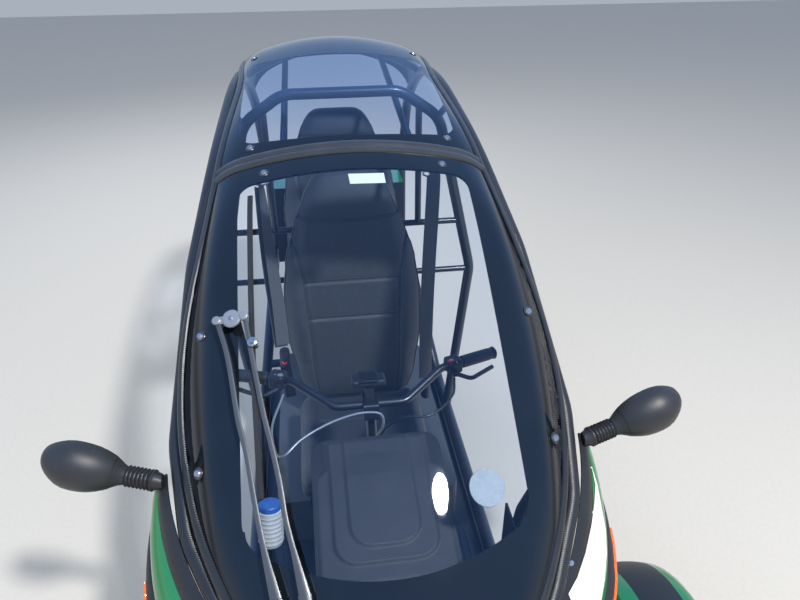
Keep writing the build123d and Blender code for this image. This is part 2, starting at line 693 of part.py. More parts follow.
# Main hoop behind the driver, with its cross bars, belt posts and brackets to the rails
hoop_route = HOOP_ROUTE + tuple((-x, y, z, bend) for x, y, z, bend in reversed(HOOP_ROUTE))
hoop = route_tube(hoop_route, HOOP_RADIUS)
_, elbow, shoulder, top_corner = HOOP_ROUTE
for bar_z in HOOP_BARS:
    share = max(0.0, (rise(bar_z) - rise(elbow[2])) / (rise(shoulder[2]) - rise(elbow[2])))
    reach = elbow[0] + share * (shoulder[0] - elbow[0]) - HOOP_RADIUS / 2
    hoop += rod((-reach, HOOP_Y, rise(bar_z)), (reach, HOOP_Y, rise(bar_z)), HOOP_BAR_RADIUS)
share = (shoulder[0] - HEAD_POST_X) / (shoulder[0] - top_corner[0])
post_top = rise(shoulder[2]) + share * (rise(top_corner[2]) - rise(shoulder[2]))
for side in (-1, 1):
    hoop += rod((side * HEAD_POST_X, HOOP_Y, rise(HOOP_BARS[1])), (side * HEAD_POST_X, HOOP_Y, post_top), HOOP_BAR_RADIUS)
    hoop += rod((side * 314, HOOP_Y, rise(1466)), (side * 359, HOOP_Y, rise(1519)), HOOP_BAR_RADIUS)
save("roll_hoop", largest(hoop - rail_rooms - side_rooms))

# Cross tubes that carry the swingarm, the shock and the rear body
cross = []
for side in (-1, 1):
    cross.append(
        largest(
            rod((side * (PIVOT_HALF + SEAT_GAP), PIVOT_Y, PIVOT_Z), (side * 380, PIVOT_Y, PIVOT_Z), 18) - side_rooms
        )
    )
shock_bar = rod((-350, SHOCK_TOP[1] + 30, SHOCK_TOP[2] - 4), (350, SHOCK_TOP[1] + 30, SHOCK_TOP[2] - 4), 15)
shock_bar = largest(shock_bar - side_rooms)
for side in (-1, 1):
    lug = (
        (side * 19 - 4, SHOCK_TOP[1] - 14, SHOCK_TOP[2] - 16),
        (side * 19 + 4, SHOCK_TOP[1] + 30, SHOCK_TOP[2] + 10),
    )
    shock_bar += box(*lug)
save("rear_cross_tubes", Compound(children=cross + [shock_bar]))

# Windshield, cowl and roof: arched skins. Each row is y, edge, shoulder and crown
WINDSHIELD_SECTIONS = (
    (-1150, (262, 764), (196, 816), 842),
    (-930, (402, 868), (316, 958), 1008),
    (-660, (464, 1020), (370, 1142), 1200),
    (-380, (436, 1232), (344, 1336), 1385),
    (-106, (386, 1418), (300, 1470), 1506),
)
ROOF_SECTIONS = (
    (-105.7, (386, 1418), (300, 1470), 1506.2),
    (200, (364, 1508), (282, 1560), 1592),
    (520, (350, 1550), (270, 1604), 1632),
    (800, (346, 1536), (262, 1612), 1649.4),
    (1010, (336, 1390), (250, 1500), 1560),
)
COWL_SECTIONS = (
    (-1150.4, (262, 764), (196, 816), 842),
    (HOOD_REAR_Y + SEAT_GAP, (262, 734), (200, 780), HOOD_TOP),
)


def skin(sections, wall):
    """Smooth arched skin through its sections, trimmed clear of the rails."""
    faces = []
    for y, (edge_x, edge_z), (shoulder_x, shoulder_z), crown in sections:
        faces.append(arch_section(y, (edge_x, rise(edge_z)), (shoulder_x, rise(shoulder_z)), rise(crown), wall))
    return largest(loft(faces) - rail_rooms)


save("windshield", skin(WINDSHIELD_SECTIONS, GLASS_WALL))
save("roof_panel", skin(ROOF_SECTIONS, GLASS_WALL))
save("cowl_trim", skin(COWL_SECTIONS, PANEL_WALL))


# Nose: a hood with upright sides, and the dark front that fills its mouth
def hood_outline(y, half, crown, drop, corner, bottom, depth):
    """Open outline of the hood at one station, set in by a depth: side, corner arc, top arc, corner, side."""
    half, crown, shoulder, corner = half - depth, crown - depth, crown - drop - depth, corner - depth
    reach = corner * (1 - cos(pi / 4))
    left = [
        Line(Vector(-half, y, bottom), Vector(-half, y, shoulder - corner)),
        ThreePointArc(
            Vector(-half, y, shoulder - corner),
            Vector(-half + reach, y, shoulder - reach),
            Vector(-half + corner, y, shoulder),
        ),
    ]
    right = [
        ThreePointArc(
            Vector(half - corner, y, shoulder),
            Vector(half - reach, y, shoulder - reach),
            Vector(half, y, shoulder - corner),
        ),
        Line(Vector(half, y, shoulder - corner), Vector(half, y, bottom)),
    ]
    arc = ThreePointArc(Vector(-half + corner, y, shoulder), Vector(0, y, crown), Vector(half - corner, y, shoulder))
    return left + [arc] + right


# share of the way to the nose, half width, crown, fall from crown to shoulder, corner radius, bottom
HOOD_SECTIONS = (
    (0.0, 288, HOOD_TOP, 26, 70, HOOD_BOTTOM),
    (0.45, 262, 742, 26, 66, HOOD_BOTTOM),
    (0.82, 218, 668, 24, 58, 440),
    (1.0, 168, 604, 20, 46, 470),
)
shell_faces, core_faces = [], []
for share, *sizes in HOOD_SECTIONS:
    row = (HOOD_REAR_Y + share * (NOSE_Y - HOOD_REAR_Y), *sizes)
    outer, inner = hood_outline(*row, 0), hood_outline(*row, PANEL_WALL)
    shell_faces.append(
        make_face(outer + inner + [Line(outer[0] @ 0, inner[0] @ 0), Line(outer[-1] @ 1, inner[-1] @ 1)])
    )
    core = hood_outline(*row, PANEL_WALL + SEAT_GAP)
    core_faces.append(make_face(core + [Line(core[0] @ 0, core[-1] @ 1)]))
save("nose_panel", largest(loft(shell_faces) - rail_rooms))
hood_core = loft(core_faces)
front_plate = hood_core & box((-400, MASK_Y, 300), (400, MASK_Y + MASK_WALL, 900))
chin = box((-CHIN_HALF, MASK_Y, CHIN_BOTTOM), (CHIN_HALF, MASK_Y + MASK_WALL, 500))
chin = fillet(chin.edges().filter_by(Axis.Y).group_by(Axis.Z)[0], 40)
mask = front_plate + chin
mask += box((-CHIN_HALF + 20, MASK_Y, CHIN_BOTTOM), (CHIN_HALF - 20, FRAME_AHEAD - SEAT_GAP, CHIN_BOTTOM + 6))
for side in (-1, 1):
    mask -= Pos(side * LAMP_X, MASK_Y + MASK_WALL / 2, LAMP_Z) * Cylinder(
        LAMP_RADIUS + SEAT_GAP, MASK_WALL + 2, rotation=(90, 0, 0)
    )
slot = Pos(0, MASK_Y + MASK_WALL / 2, CHIN_BOTTOM + 44) * Box(2 * CHIN_HALF - 90, MASK_WALL + 2, 12)
for index in range(4):
    mask -= Pos(0, 0, index * 24) * slot
save("front_mask", mask)
lamps = []
for side in (-1, 1):
    lamp = turned(
        (side * LAMP_X, MASK_Y - 14, LAMP_Z),
        (0, 1, 0),
        [(0, LAMP_RADIUS - 14), (6, LAMP_RADIUS - 4), (14, LAMP_RADIUS), (34, LAMP_RADIUS), (70, 34), (84, 22)],
    )
    lamps.append(lamp)
save("headlamps", Compound(children=lamps))

# Shoulder trim, green shoulder and black pod, each row y, top, middle and bottom of the skin
TRIM_SECTIONS = (
    (-1158, (280, 762), (297, 746), (306, 722)),
    (-1030, (366, 822), (388, 808), (404, 788)),
    (-890, (443, 893), (464, 878), (478, 858)),
    (-745, (482, 975), (497, 965), (506, 950)),
)
SHOULDER_SECTIONS = (
    (-1158, (306.5, 721.5), (330, 698), (342, 664)),
    (-1030, (404.5, 787.5), (444, 762), (468, 722)),
    (-890, (478.5, 857.5), (508, 832), (522, 788)),
    (-745, (506.5, 949.5), (522, 916), (522, 874)),
)
POD_SECTIONS = (
    (-1158, (342.5, 663.5), (350, 642), (340, 616)),
    (-1030, (468.5, 721.5), (490, 700), (484, 664)),
    (-890, (522.5, 787.5), (541, 758), (530, 714)),
    (-745, (522.5, 873.5), (536, 842), (522, 804)),
)
for name, sections in (
    ("shoulder_trims", TRIM_SECTIONS),
    ("shoulder_panels", SHOULDER_SECTIONS),
    ("marker_pods", POD_SECTIONS),
):
    faces = []
    for y, *points in sections:
        faces.append(strip_section(y, *[(x, rise(z)) for x, z in points], PANEL_WALL))
    panel = loft(faces)
    save(name, twin(largest(panel - rail_room - side_room)))

# Tub: footwell, bulkhead and floor, with the column's bearing
tub = box((-TUB_HALF, TUB_FRONT, FLOOR_Z), (TUB_HALF, -640, TUB_TOP))
tub -= box(
    (-TUB_HALF + TUB_WALL, TUB_FRONT + TUB_WALL, FLOOR_Z + FLOOR_WALL), (TUB_HALF - TUB_WALL, -600, TUB_TOP + 20)
)
tub += box((-TUB_HALF, -640, FLOOR_Z), (TUB_HALF, TUB_REAR, FLOOR_Z + FLOOR_WALL))
for side in (-1, 1):
    lip = box((TUB_HALF - TUB_WALL, -640, FLOOR_Z), (TUB_HALF, TUB_REAR, SILL_Z + 10))
    tub += lip if side > 0 else lip.mirror(Plane.YZ)
save("floor_tub", tub - side_rooms)
bearing = turned(foot - column_way * 44, column_way, [(0, 36), (80, 24)])
bearing -= rod(foot + column_way * (4 - SEAT_GAP), foot + column_way * 200, STEM_RADIUS + RUN_FIT)
bearing -= box((-100, -900, 100), (100, -400, FLOOR_Z + FLOOR_WALL + SEAT_GAP))
save("column_bearing", bearing)
battery = box((-300, -330, FLOOR_Z + FLOOR_WALL + SEAT_GAP), (300, 520, BATTERY_TOP))
save("battery_box", fillet(battery.edges().filter_by(Axis.Z), 25))


# Seats: cushion, shaped back and base
# share of the height, half width, depth at the bolsters, how far the middle lies behind them
BACK_SECTIONS = (
    (0.0, 196, 70, 14),
    (0.14, 232, 88, 24),
    (0.3, 256, 95, 28),
    (0.46, 260, 95, 28),
    (0.62, 244, 90, 22),
    (0.76, 208, 84, 10),
    (0.88, 166, 82, 3),
    (0.97, 128, 66, 1),
    (1.0, 96, 44, 1),
)


def back_section(up, half, depth, dip):
    """Outline across the seat back: flat behind, round at the sides, hollow between two bolsters."""
    ridge, inner = half * 0.82, half * 0.55

    def at(x, y):
        return Vector(x, -y, up)

    edges = [
        Line(at(-half + 22, 0), at(half - 22, 0)),
        ThreePointArc(at(-inner, depth - dip), at(0, depth - dip - 3), at(inner, depth - dip)),
    ]
    for side in (-1, 1):
        edges.append(ThreePointArc(at(side * (half - 22), 0), at(side * half, depth * 0.5), at(side * ridge, depth)))
        edges.append(Line(at(side * ridge, depth), at(side * inner, depth - dip)))
    return make_face(edges)


def seat_back(height, place_y, place_z):
    """Bucket seat back with a built-in headrest, leaning back."""
    foam = loft([back_section(share * height, half, depth, dip) for share, half, depth, dip in BACK_SECTIONS])
    foam = Rot(-SEAT_RECLINE, 0, 0) * foam
    return Pos(0, place_y - foam.bounding_box().min.Y, place_z) * foam


def seat_cushion(front_y, back_y, top_z):
    """Seat cushion with a rounded front."""
    pad = box((-CUSHION_HALF, front_y, top_z - CUSHION), (CUSHION_HALF, back_y, top_z))
    pad = fillet(pad.edges().filter_by(Axis.X).group_by(Axis.Y)[0], 40)
    return fillet(pad.edges().filter_by(Axis.Y).group_by(Axis.Z)[-1], 26)


# name, front y, back y, top z and the back's height
SEATS = (("driver", -430.0, 10.0, 600.0, 850.0), ("passenger", 330.0, 640.0, 690.0, 800.0))
bases = []
for name, front_y, back_y, top_z, height in SEATS:
    save(f"seat_cushion_{name}", seat_cushion(front_y, back_y, top_z))
    save(f"seat_back_{name}", seat_back(height, back_y + SEAT_GAP, top_z - CUSHION + 8))
    base = box(
        (-SEAT_BASE_HALF, front_y + 60, BATTERY_TOP + SEAT_GAP),
        (SEAT_BASE_HALF, back_y + 8, top_z - CUSHION - SEAT_GAP),
    )
    inside = SEAT_BASE_HALF - SEAT_BASE_WALL
    base -= box((-inside, front_y + 60 + SEAT_BASE_WALL, 0), (inside, back_y + 8 - SEAT_BASE_WALL, top_z))
    bases.append(base)
save("seat_bases", Compound(children=bases))

# Console under the handlebar, with its lid
def side_profile(points, half):
    """Solid of one side outline across the car's middle."""
    return extrude(Plane.YZ * make_face(Polyline(*points, close=True)), amount=half, both=True)


(high_y, high_z), (low_y, low_z) = CONSOLE_HIGH, CONSOLE_LOW
run, fall = high_y - low_y, high_z - low_z
slant = (run**2 + fall**2) ** 0.5
lift_y, lift_z = -fall / slant, run / slant
inner_y = TUB_FRONT + TUB_WALL + 1
floor_top = FLOOR_Z + FLOOR_WALL + SEAT_GAP
save(
    "console",
    side_profile(
        (
            (high_y, high_z),
            (low_y, low_z),
            (inner_y, TUB_TOP + 4),
            (inner_y, floor_top),
            (inner_y + 110, floor_top),
        ),
        CONSOLE_HALF,
    ),
)
lid_points = []
for (y, z), lift in (
    (CONSOLE_HIGH, SEAT_GAP),
    (CONSOLE_LOW, SEAT_GAP),
    (CONSOLE_LOW, CONSOLE_LID_WALL),
    (CONSOLE_HIGH, CONSOLE_LID_WALL),
):
    lid_points.append((y + lift * lift_y, z + lift * lift_z))
top_lid = side_profile(lid_points, CONSOLE_LID_HALF)
top_lid = fillet(top_lid.edges().filter_by(lambda edge: edge.length < 2 * CONSOLE_LID_WALL), 44)
save("console_lid", top_lid)

# Mirrors on ribbed stalks
stalk_from = Vector(STALK_X, -754, rise(STALK_Z))
stalk_to = Vector(STALK_END_X, -736, rise(STALK_Z) + 8)
stalk_way = (stalk_to - stalk_from).normalized()
rib = (stalk_to - stalk_from).length / STALK_RIBS
ribs = [(0, 25)]
for index in range(STALK_RIBS):
    ribs += [((index + 0.5) * rib, 20), ((index + 1) * rib, 24)]
head_way = Vector(*HEAD_WAY).normalized()
# distance along the housing and its radius
HEAD_PROFILE = ((0, 22), (12, 25), (38, 43), (74, 56), (112, 59), (148, 49), (172, 31), (184, 12))
head = turned(stalk_to - head_way * 6, head_way, HEAD_PROFILE)
face_cut = Plane(origin=stalk_to + Vector(0, 22, 0), z_dir=Vector(-0.05, 1, 0.05))
head -= face_cut * Box(600, 600, 200, align=(Align.CENTER, Align.CENTER, Align.MIN))
mirror = turned(stalk_from, stalk_way, ribs) + head
save("mirrors", twin(largest(mirror - rail_room - side_room)))

# Rear: swingarm with its axle, shock, fender
swing = Part()
for side in (-1, 1):
    swing += tube(
        [
            (side * 150, PIVOT_Y - 10, PIVOT_Z),
            (side * 128, SHOCK_FOOT[1] + 92, SHOCK_FOOT[2] - 4),
            (side * 112, REAR_AXLE_Y + 24, TYRE_RADIUS),
        ],
        19,
        200,
    )
swing += rod((-PIVOT_HALF, PIVOT_Y, PIVOT_Z), (PIVOT_HALF, PIVOT_Y, PIVOT_Z), 26)
swing += rod((-135, *SHOCK_FOOT[1:]), (135, *SHOCK_FOOT[1:]), 15)
swing += rod((-130, REAR_AXLE_Y, TYRE_RADIUS), (130, REAR_AXLE_Y, TYRE_RADIUS), SPINDLE_RADIUS)
save("swingarm", swing)
shock_foot = (0, SHOCK_FOOT[1], SHOCK_FOOT[2] + 15 + EYE_RADIUS + SEAT_GAP)
save("rear_shock", coilover(shock_foot, SHOCK_TOP, 4))
fender_top = TRUNK_BOTTOM - SEAT_GAP - TYRE_RADIUS
rear_outline = []
for depth in (0, FENDER_WALL):
    half, top_r = REAR_FENDER_HALF - depth, fender_top - depth
    right = [(half - 14, top_r), (half, top_r - 14), (half, top_r - 40)]
    rear_outline.append([(-x, r) for x, r in reversed(right)] + right)
rear_face = make_face(Polyline(*rear_outline[0], *reversed(rear_outline[1]), close=True))
rear_fender = revolve(rear_face, axis=Axis.X, revolution_arc=126)
save("rear_fender", Pos(0, REAR_AXLE_Y, TYRE_RADIUS) * Rot(-6, 0, 0) * rear_fender)

# Trunk with its lid, lamps and number plate
slope_from, slope_to = Vector(0, LID_FRONT_Y, TRUNK_TOP), Vector(0, LID_REAR_Y, LID_REAR_Z)
slope = (slope_to - slope_from).normalized()
slope_normal = Vector(0, -slope.Z, slope.Y)
slope_plane = Plane(origin=slope_from, x_dir=(1, 0, 0), z_dir=slope_normal)
slope_length = (slope_to - slope_from).length
trunk_outline = Plane.YZ * make_face(
    Polyline(
        (TRUNK_FRONT, TRUNK_BOTTOM),
        (TAIL_TUBE_END + 30, TRUNK_BOTTOM),
        (REAR_Y, LAMP_BAND[0]),
        (REAR_Y, LAMP_BAND[1]),
        (LID_REAR_Y, LID_REAR_Z),
        (LID_FRONT_Y, TRUNK_TOP),
        (TRUNK_FRONT, TRUNK_TOP),
        close=True,
    )
)


def trunk_block(depth):
    """The trunk's form set in by a depth, with rounded rear corners."""
    outline = trunk_outline
    if depth:
        outline = offset(trunk_outline, amount=-depth, kind=Kind.INTERSECTION)
    block = extrude(outline, amount=TRUNK_HALF - depth, both=True)
    corners = block.edges().filter_by(lambda edge: abs(edge.center().Y - REAR_Y + depth) < 1 and abs(edge.center().X) > 1)
    return fillet(corners, TRUNK_CORNER - depth)


trunk = trunk_block(0) - trunk_block(TRUNK_WALL)
mouth = slope_plane * Pos(0, slope_length / 2, 0) * Box(2 * LID_HALF - 50, slope_length - 60, 4 * TRUNK_WALL)
trunk -= mouth
lid_plate = slope_plane * Pos(0, slope_length / 2 + 4, LID_GAP + LID_WALL / 2) * Box(
    2 * LID_HALF, slope_length - 16, LID_WALL
)
hinge_at = slope_from + slope_normal * (LID_GAP + HINGE_RADIUS + 1) - slope * HINGE_RADIUS
lid = fillet(lid_plate.edges().filter_by(Axis((0, 0, 0), tuple(slope_normal))), 24)
for side in (-1, 1):
    x = side * HINGE_X
    pin = rod(hinge_at + Vector(x - 20, 0, 0), hinge_at + Vector(x + 20, 0, 0), PIN_RADIUS)
    for out in (-1, 1):
        barrel_at = hinge_at + Vector(x + out * 15, 0, 0)
        pin += rod(barrel_at - Vector(5, 0, 0), barrel_at + Vector(5, 0, 0), HINGE_RADIUS)
        pin += box(
            (barrel_at.X - 5, hinge_at.Y - 7, TRUNK_TOP - 4), (barrel_at.X + 5, hinge_at.Y + 3, hinge_at.Z)
        )
    trunk += pin
    knuckle_solid = rod(hinge_at + Vector(x - 9, 0, 0), hinge_at + Vector(x + 9, 0, 0), HINGE_RADIUS)
    knuckle_solid += slope_plane * Pos(x, 10, LID_GAP + LID_WALL / 2 + 1) * Box(18, 30, LID_WALL + 2)
    knuckle_solid -= rod(hinge_at + Vector(x - 40, 0, 0), hinge_at + Vector(x + 40, 0, 0), PIN_RADIUS + RUN_FIT)
    lid += knuckle_solid
save("trunk", trunk)
save("trunk_lid", lid)
tail = []
for side in (-1, 1):
    tail.append(
        box(
            (side * LAMP_AT - LAMP_HALF, REAR_Y + SEAT_GAP, LAMP_BAND[0] + 8),
            (side * LAMP_AT + LAMP_HALF, REAR_Y + 6, LAMP_BAND[1] - 8),
        )
    )
save("tail_lamps", Compound(children=tail))
rear_face_y = REAR_AXLE_Y + fender_top
plate = box((-PLATE_HALF, rear_face_y + SEAT_GAP, 330), (PLATE_HALF, rear_face_y + SEAT_GAP + 4, 440))
plate = fillet(plate.edges().filter_by(Axis.Y), 10)
boss_y = REAR_AXLE_Y + (fender_top ** 2 - (PLATE_BOLT_Z - 8 - TYRE_RADIUS) ** 2) ** 0.5 + SEAT_GAP
for side in (-1, 1):
    at_x = side * PLATE_BOLT_X
    plate += rod((at_x, boss_y, PLATE_BOLT_Z), (at_x, rear_face_y + 2, PLATE_BOLT_Z), 8)
    plate -= rod((at_x, boss_y - 5, PLATE_BOLT_Z), (at_x, rear_face_y + 20, PLATE_BOLT_Z), PLATE_HOLE)
save("plate_holder", plate)
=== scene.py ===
"""Looks of a tandem three-wheeled electric vehicle, dressed over its fixed frame.

Metres throughout. +X is the vehicle's left, +Y points to its rear and +Z is up.
"""

import logging
import math
from dataclasses import dataclass
from enum import Enum
from typing import Callable, Iterable, Sequence

import bmesh
import bpy
from mathutils import Matrix, Vector
from mathutils.bvhtree import BVHTree
from mathutils.geometry import delaunay_2d_cdt


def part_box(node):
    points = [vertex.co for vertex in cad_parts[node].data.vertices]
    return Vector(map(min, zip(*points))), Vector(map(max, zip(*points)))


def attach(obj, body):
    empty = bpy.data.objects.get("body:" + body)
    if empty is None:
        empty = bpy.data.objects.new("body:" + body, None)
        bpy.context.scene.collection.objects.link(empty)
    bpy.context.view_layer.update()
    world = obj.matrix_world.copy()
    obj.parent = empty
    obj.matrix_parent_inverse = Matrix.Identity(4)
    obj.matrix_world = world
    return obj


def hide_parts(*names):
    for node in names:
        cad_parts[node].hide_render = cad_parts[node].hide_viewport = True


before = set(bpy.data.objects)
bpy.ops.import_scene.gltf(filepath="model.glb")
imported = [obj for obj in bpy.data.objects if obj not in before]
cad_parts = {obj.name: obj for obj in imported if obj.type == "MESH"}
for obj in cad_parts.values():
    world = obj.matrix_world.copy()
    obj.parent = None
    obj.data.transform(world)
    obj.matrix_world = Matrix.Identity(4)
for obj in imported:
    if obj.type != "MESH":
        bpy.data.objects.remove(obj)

logging.basicConfig(level=logging.INFO, format="%(message)s")
LOG = logging.getLogger("vehicle")
PHOTO_SIZE = (800, 600)
Colour = tuple[float, float, float]
Point = Sequence[float]
Pair = tuple[float, float]
Pairs = Sequence[Pair]
Seats = Sequence[tuple[Vector, Vector]]
Piece = bpy.types.Object
Material = bpy.types.Material
Socket = bpy.types.NodeSocket


class Bodies(Enum):
    """Bodies of the frame that pieces ride on."""

    CHASSIS = "chassis"
    HANDLEBAR = "handlebar_set"
    WHEEL_LEFT = "wheel_front_left"
    WHEEL_RIGHT = "wheel_front_right"
    WHEEL_REAR = "wheel_rear"
    LID = "lid"


HALF_TRACK = 0.6705
# body, tyre, centre and the side that the spoked face looks to
WHEELS = (
    (Bodies.WHEEL_LEFT, "tyre_front_left", (HALF_TRACK, -1.0, 0.28), 1),
    (Bodies.WHEEL_RIGHT, "tyre_front_right", (-HALF_TRACK, -1.0, 0.28), -1),
    (Bodies.WHEEL_REAR, "tyre_rear", (0.0, 1.032, 0.28), 1),
)


# Node trees


def add_node(tree: bpy.types.NodeTree, kind: str, settings: dict, values: dict) -> bpy.types.Node:
    """Add a node to a tree.

    Args:
        tree: the tree.
        kind: the node's type.
        settings: its own properties, set first.
        values: its inputs by name or index, as values, sockets or signals.

    Returns:
        The node.
    """
    made = tree.nodes.new(kind)
    for key, value in settings.items():
        setattr(made, key, value)
    for key, value in values.items():
        value = getattr(value, "socket", value)
        if isinstance(value, Socket):
            tree.links.new(value, made.inputs[key])
        else:
            made.inputs[key].default_value = value
    return made


class Signal:
    """A socket of a shader tree, with arithmetic that adds Math nodes."""

    def __init__(self, shader: "Shader", socket: Socket) -> None:
        """Keep the tree and the socket."""
        self.shader = shader
        self.socket = socket

    def _math(self, operation: str, *values: "Signal | float") -> "Signal":
        """Add one Math node.

        Args:
            operation: the Math node's operation.
            values: its inputs in order.

        Returns:
            The node's output.
        """
        return self.shader.node("ShaderNodeMath", {"operation": operation}, dict(enumerate(values)))

    def __add__(self, other: "Signal | float") -> "Signal":
        """Sum."""
        return self._math("ADD", self, other)

    def __sub__(self, other: "Signal | float") -> "Signal":
        """Difference."""
        return self._math("SUBTRACT", self, other)

    def __rsub__(self, other: float) -> "Signal":
        """Difference from a number."""
        return self._math("SUBTRACT", other, self)

    def __mul__(self, other: "Signal | float") -> "Signal":
        """Product."""
        return self._math("MULTIPLY", self, other)

    __radd__, __rmul__ = __add__, __mul__

    def __abs__(self) -> "Signal":
        """Size without sign."""
        return self._math("ABSOLUTE", self)

    def at_least(self, other: "Signal | float") -> "Signal":
        """The larger of two values."""
        return self._math("MAXIMUM", self, other)

    def at_most(self, other: "Signal | float") -> "Signal":
        """The smaller of two values."""
        return self._math("MINIMUM", self, other)

    def root(self) -> "Signal":
        """Square root."""
        return self._math("SQRT", self)

    def wave(self, pitch: float) -> "Signal":
        """Sine of a length, from -1 to 1, repeating each pitch."""
        return self._math("SINE", self * (math.tau / pitch))

    def ramp(self, low: float, high: float) -> "Signal":
        """Smooth step from 0 at low to 1 at high.

        Args:
            low: value that gives 0.
            high: value that gives 1.

        Returns:
            The stepped value.
        """
        values = {"Value": self, "From Min": low, "From Max": high}
        return self.shader.node("ShaderNodeMapRange", {"interpolation_type": "SMOOTHSTEP"}, values)


class Shader:
    """One material's node tree."""

    def __init__(self, name: str) -> None:
        """Start an empty material."""
        self.material = bpy.data.materials.new(name)
        self.material.use_nodes = True
        self.tree = self.material.node_tree
        self.tree.nodes.clear()
        self.output = self.tree.nodes.new("ShaderNodeOutputMaterial")

    def node(self, kind: str, settings: dict, values: dict, out: int | str = 0) -> Signal:
        """Add a node.

        Args:
            kind: the node's type.
            settings: the node's own properties, set first.
            values: its inputs by name or index, as numbers, colours or signals.
            out: which output to return.

        Returns:
            The output as a signal.
        """
        return Signal(self, add_node(self.tree, kind, settings, values).outputs[out])

    def position(self) -> Signal:
        """Place on the piece in its own axes."""
        return self.node("ShaderNodeTexCoord", {}, {}, "Object")

    def axes(self, place: Signal | None = None) -> tuple[Signal, Signal, Signal]:
        """The three numbers of a place.

        Args:
            place: a vector, or none for the place on the piece.

        Returns:
            x, y and z.
        """
        split = self.node("ShaderNodeSeparateXYZ", {}, {0: place or self.position()}).socket.node
        return tuple(Signal(self, socket) for socket in split.outputs)

    def noise(self, scale: float, detail: float = 3.0, stretch: Colour = (1, 1, 1)) -> Signal:
        """Noise over the piece.

        Args:
            scale: features per metre.
            detail: octaves.
            stretch: scale along each axis.

        Returns:
            A value about 0.5.
        """
        place = self.node("ShaderNodeMapping", {}, {"Vector": self.position(), "Scale": stretch})
        values = {"Vector": place, "Scale": scale, "Detail": detail, "Roughness": 0.55}
        return self.node("ShaderNodeTexNoise", {}, values)

    def cells(self, scale: float, feature: str = "F1") -> Signal:
        """Distance to the nearest of scattered points."""
        values = {"Vector": self.position(), "Scale": scale}
        return self.node("ShaderNodeTexVoronoi", {"feature": feature}, values)

    def mix(self, share: Signal | float, first: Signal | Colour, second: Signal | Colour) -> Signal:
        """Blend two colours.

        Args:
            share: how much of the second.
            first: colour at 0.
            second: colour at 1.

        Returns:
            The blended colour.
        """
        values = {0: share}
        for index, colour in ((6, first), (7, second)):
            values[index] = colour if isinstance(colour, Signal) else (*colour, 1.0)
        return self.node("ShaderNodeMix", {"data_type": "RGBA"}, values, 2)

    def tones(self, share: Signal, colour: Colour, low: float, high: float) -> Signal:
        """Blend of a darker and a lighter tone of one colour."""
        return self.mix(share, shade(colour, low), shade(colour, high))

    def bump(self, height: Signal, depth: float, below: Signal | None = None) -> Signal:
        """Normal of a relief.

        Args:
            height: relief from 0 to 1.
            depth: its depth in metres.
            below: a normal to add it to.

        Returns:
            The new normal.
        """
        values = {"Height": height, "Distance": depth, "Strength": 1.0}
        if below is not None:
            values["Normal"] = below
        return self.node("ShaderNodeBump", {}, values)

    def rolled(self, across: Signal, start: float, end: float) -> Signal:
        """Normal of a sheet whose long edges roll over sideways.

        Args:
            across: place from the middle.
            start: where the roll starts.
            end: where it is steepest.

        Returns:
            The new normal.
        """
        share = abs(across).ramp(start, end)
        side = self.node("ShaderNodeMath", {"operation": "SIGN"}, {0: across})
        lean = self.node("ShaderNodeCombineXYZ", {}, {0: side * share * 0.5, 1: 0.0, 2: share * -0.1})
        level = self.node("ShaderNodeNewGeometry", {}, {}, "Normal")
        added = self.node("ShaderNodeVectorMath", {"operation": "ADD"}, {0: level, 1: lean})
        return self.node("ShaderNodeVectorMath", {"operation": "NORMALIZE"}, {0: added})

    def surface(self, shader: Signal) -> Material:
        """Send a shader to the output and return the material."""
        self.tree.links.new(shader.socket, self.output.inputs["Surface"])
        return self.material

    def principled(self, colour: Signal | Colour, **values: Signal | float) -> Signal:
        """Principled shader.

        Args:
            colour: base colour.
            values: other inputs, with underscores for spaces.

        Returns:
            The shader.
        """
        sockets = {key.replace("_", " "): value for key, value in values.items()}
        sockets["Base Color"] = colour if isinstance(colour, Signal) else (*colour, 1.0)
        return self.node("ShaderNodeBsdfPrincipled", {}, sockets)


def shade(colour: Colour, factor: float) -> Colour:
    """Colour made lighter or darker."""
    return tuple(min(1.0, part * factor) for part in colour)


# Finishes


@dataclass(frozen=True)
class Finish:
    """A named material, whose kind says how its shader looks."""

    name: str

    def look(self, s: Shader) -> Signal:
        """The finish's shader.

        Args:
            s: the material's tree.

        Returns:
            The shader.
        """
        raise NotImplementedError

    def build(self) -> Material:
        """Make the material."""
        s = Shader(self.name)
        return s.surface(self.look(s))


@dataclass(frozen=True)
class PaleFloor(Finish):
    """Matt floor with a slight mottle."""

    colour: Colour

    def look(self, s: Shader) -> Signal:
        """The finish's shader."""
        return s.principled(s.tones(s.noise(60, 6), self.colour, 0.93, 1.05), Roughness=0.9)


@dataclass(frozen=True)
class GlossPaint(Finish):
    """Body paint under clear coat, turned near-black without clear coat ahead of one station if it has one.
    """

    colour: Colour
    darkened_to: float | None = None
    dark_tone: Colour = (0.012, 0.013, 0.015)

    def look(self, s: Shader) -> Signal:
        """The finish's shader.

        Args:
            s: the material's tree.

        Returns:
            The shader.
        """
        flake = s.noise(2600, 2)
        drift = s.noise(3.5, 2)
        body = s.tones(flake * 0.5 + drift * 0.5, self.colour, 0.82, 1.15)
        coat: Signal | float = 1.0
        # Ahead of the station the paint turns near-black and loses its clear coat.
        if self.darkened_to is not None:
            coat = s.axes()[1].ramp(self.darkened_to, self.darkened_to + 0.001)
            body = s.mix(coat, self.dark_tone, body)
        peel = s.noise(260, 2)
        return s.principled(
            body,
            Roughness=0.3 + 0.12 * flake,
            Specular_IOR_Level=0.5,
            Coat_Weight=coat,
            Coat_Roughness=0.04,
            Normal=s.bump(peel, 0.00012),
        )


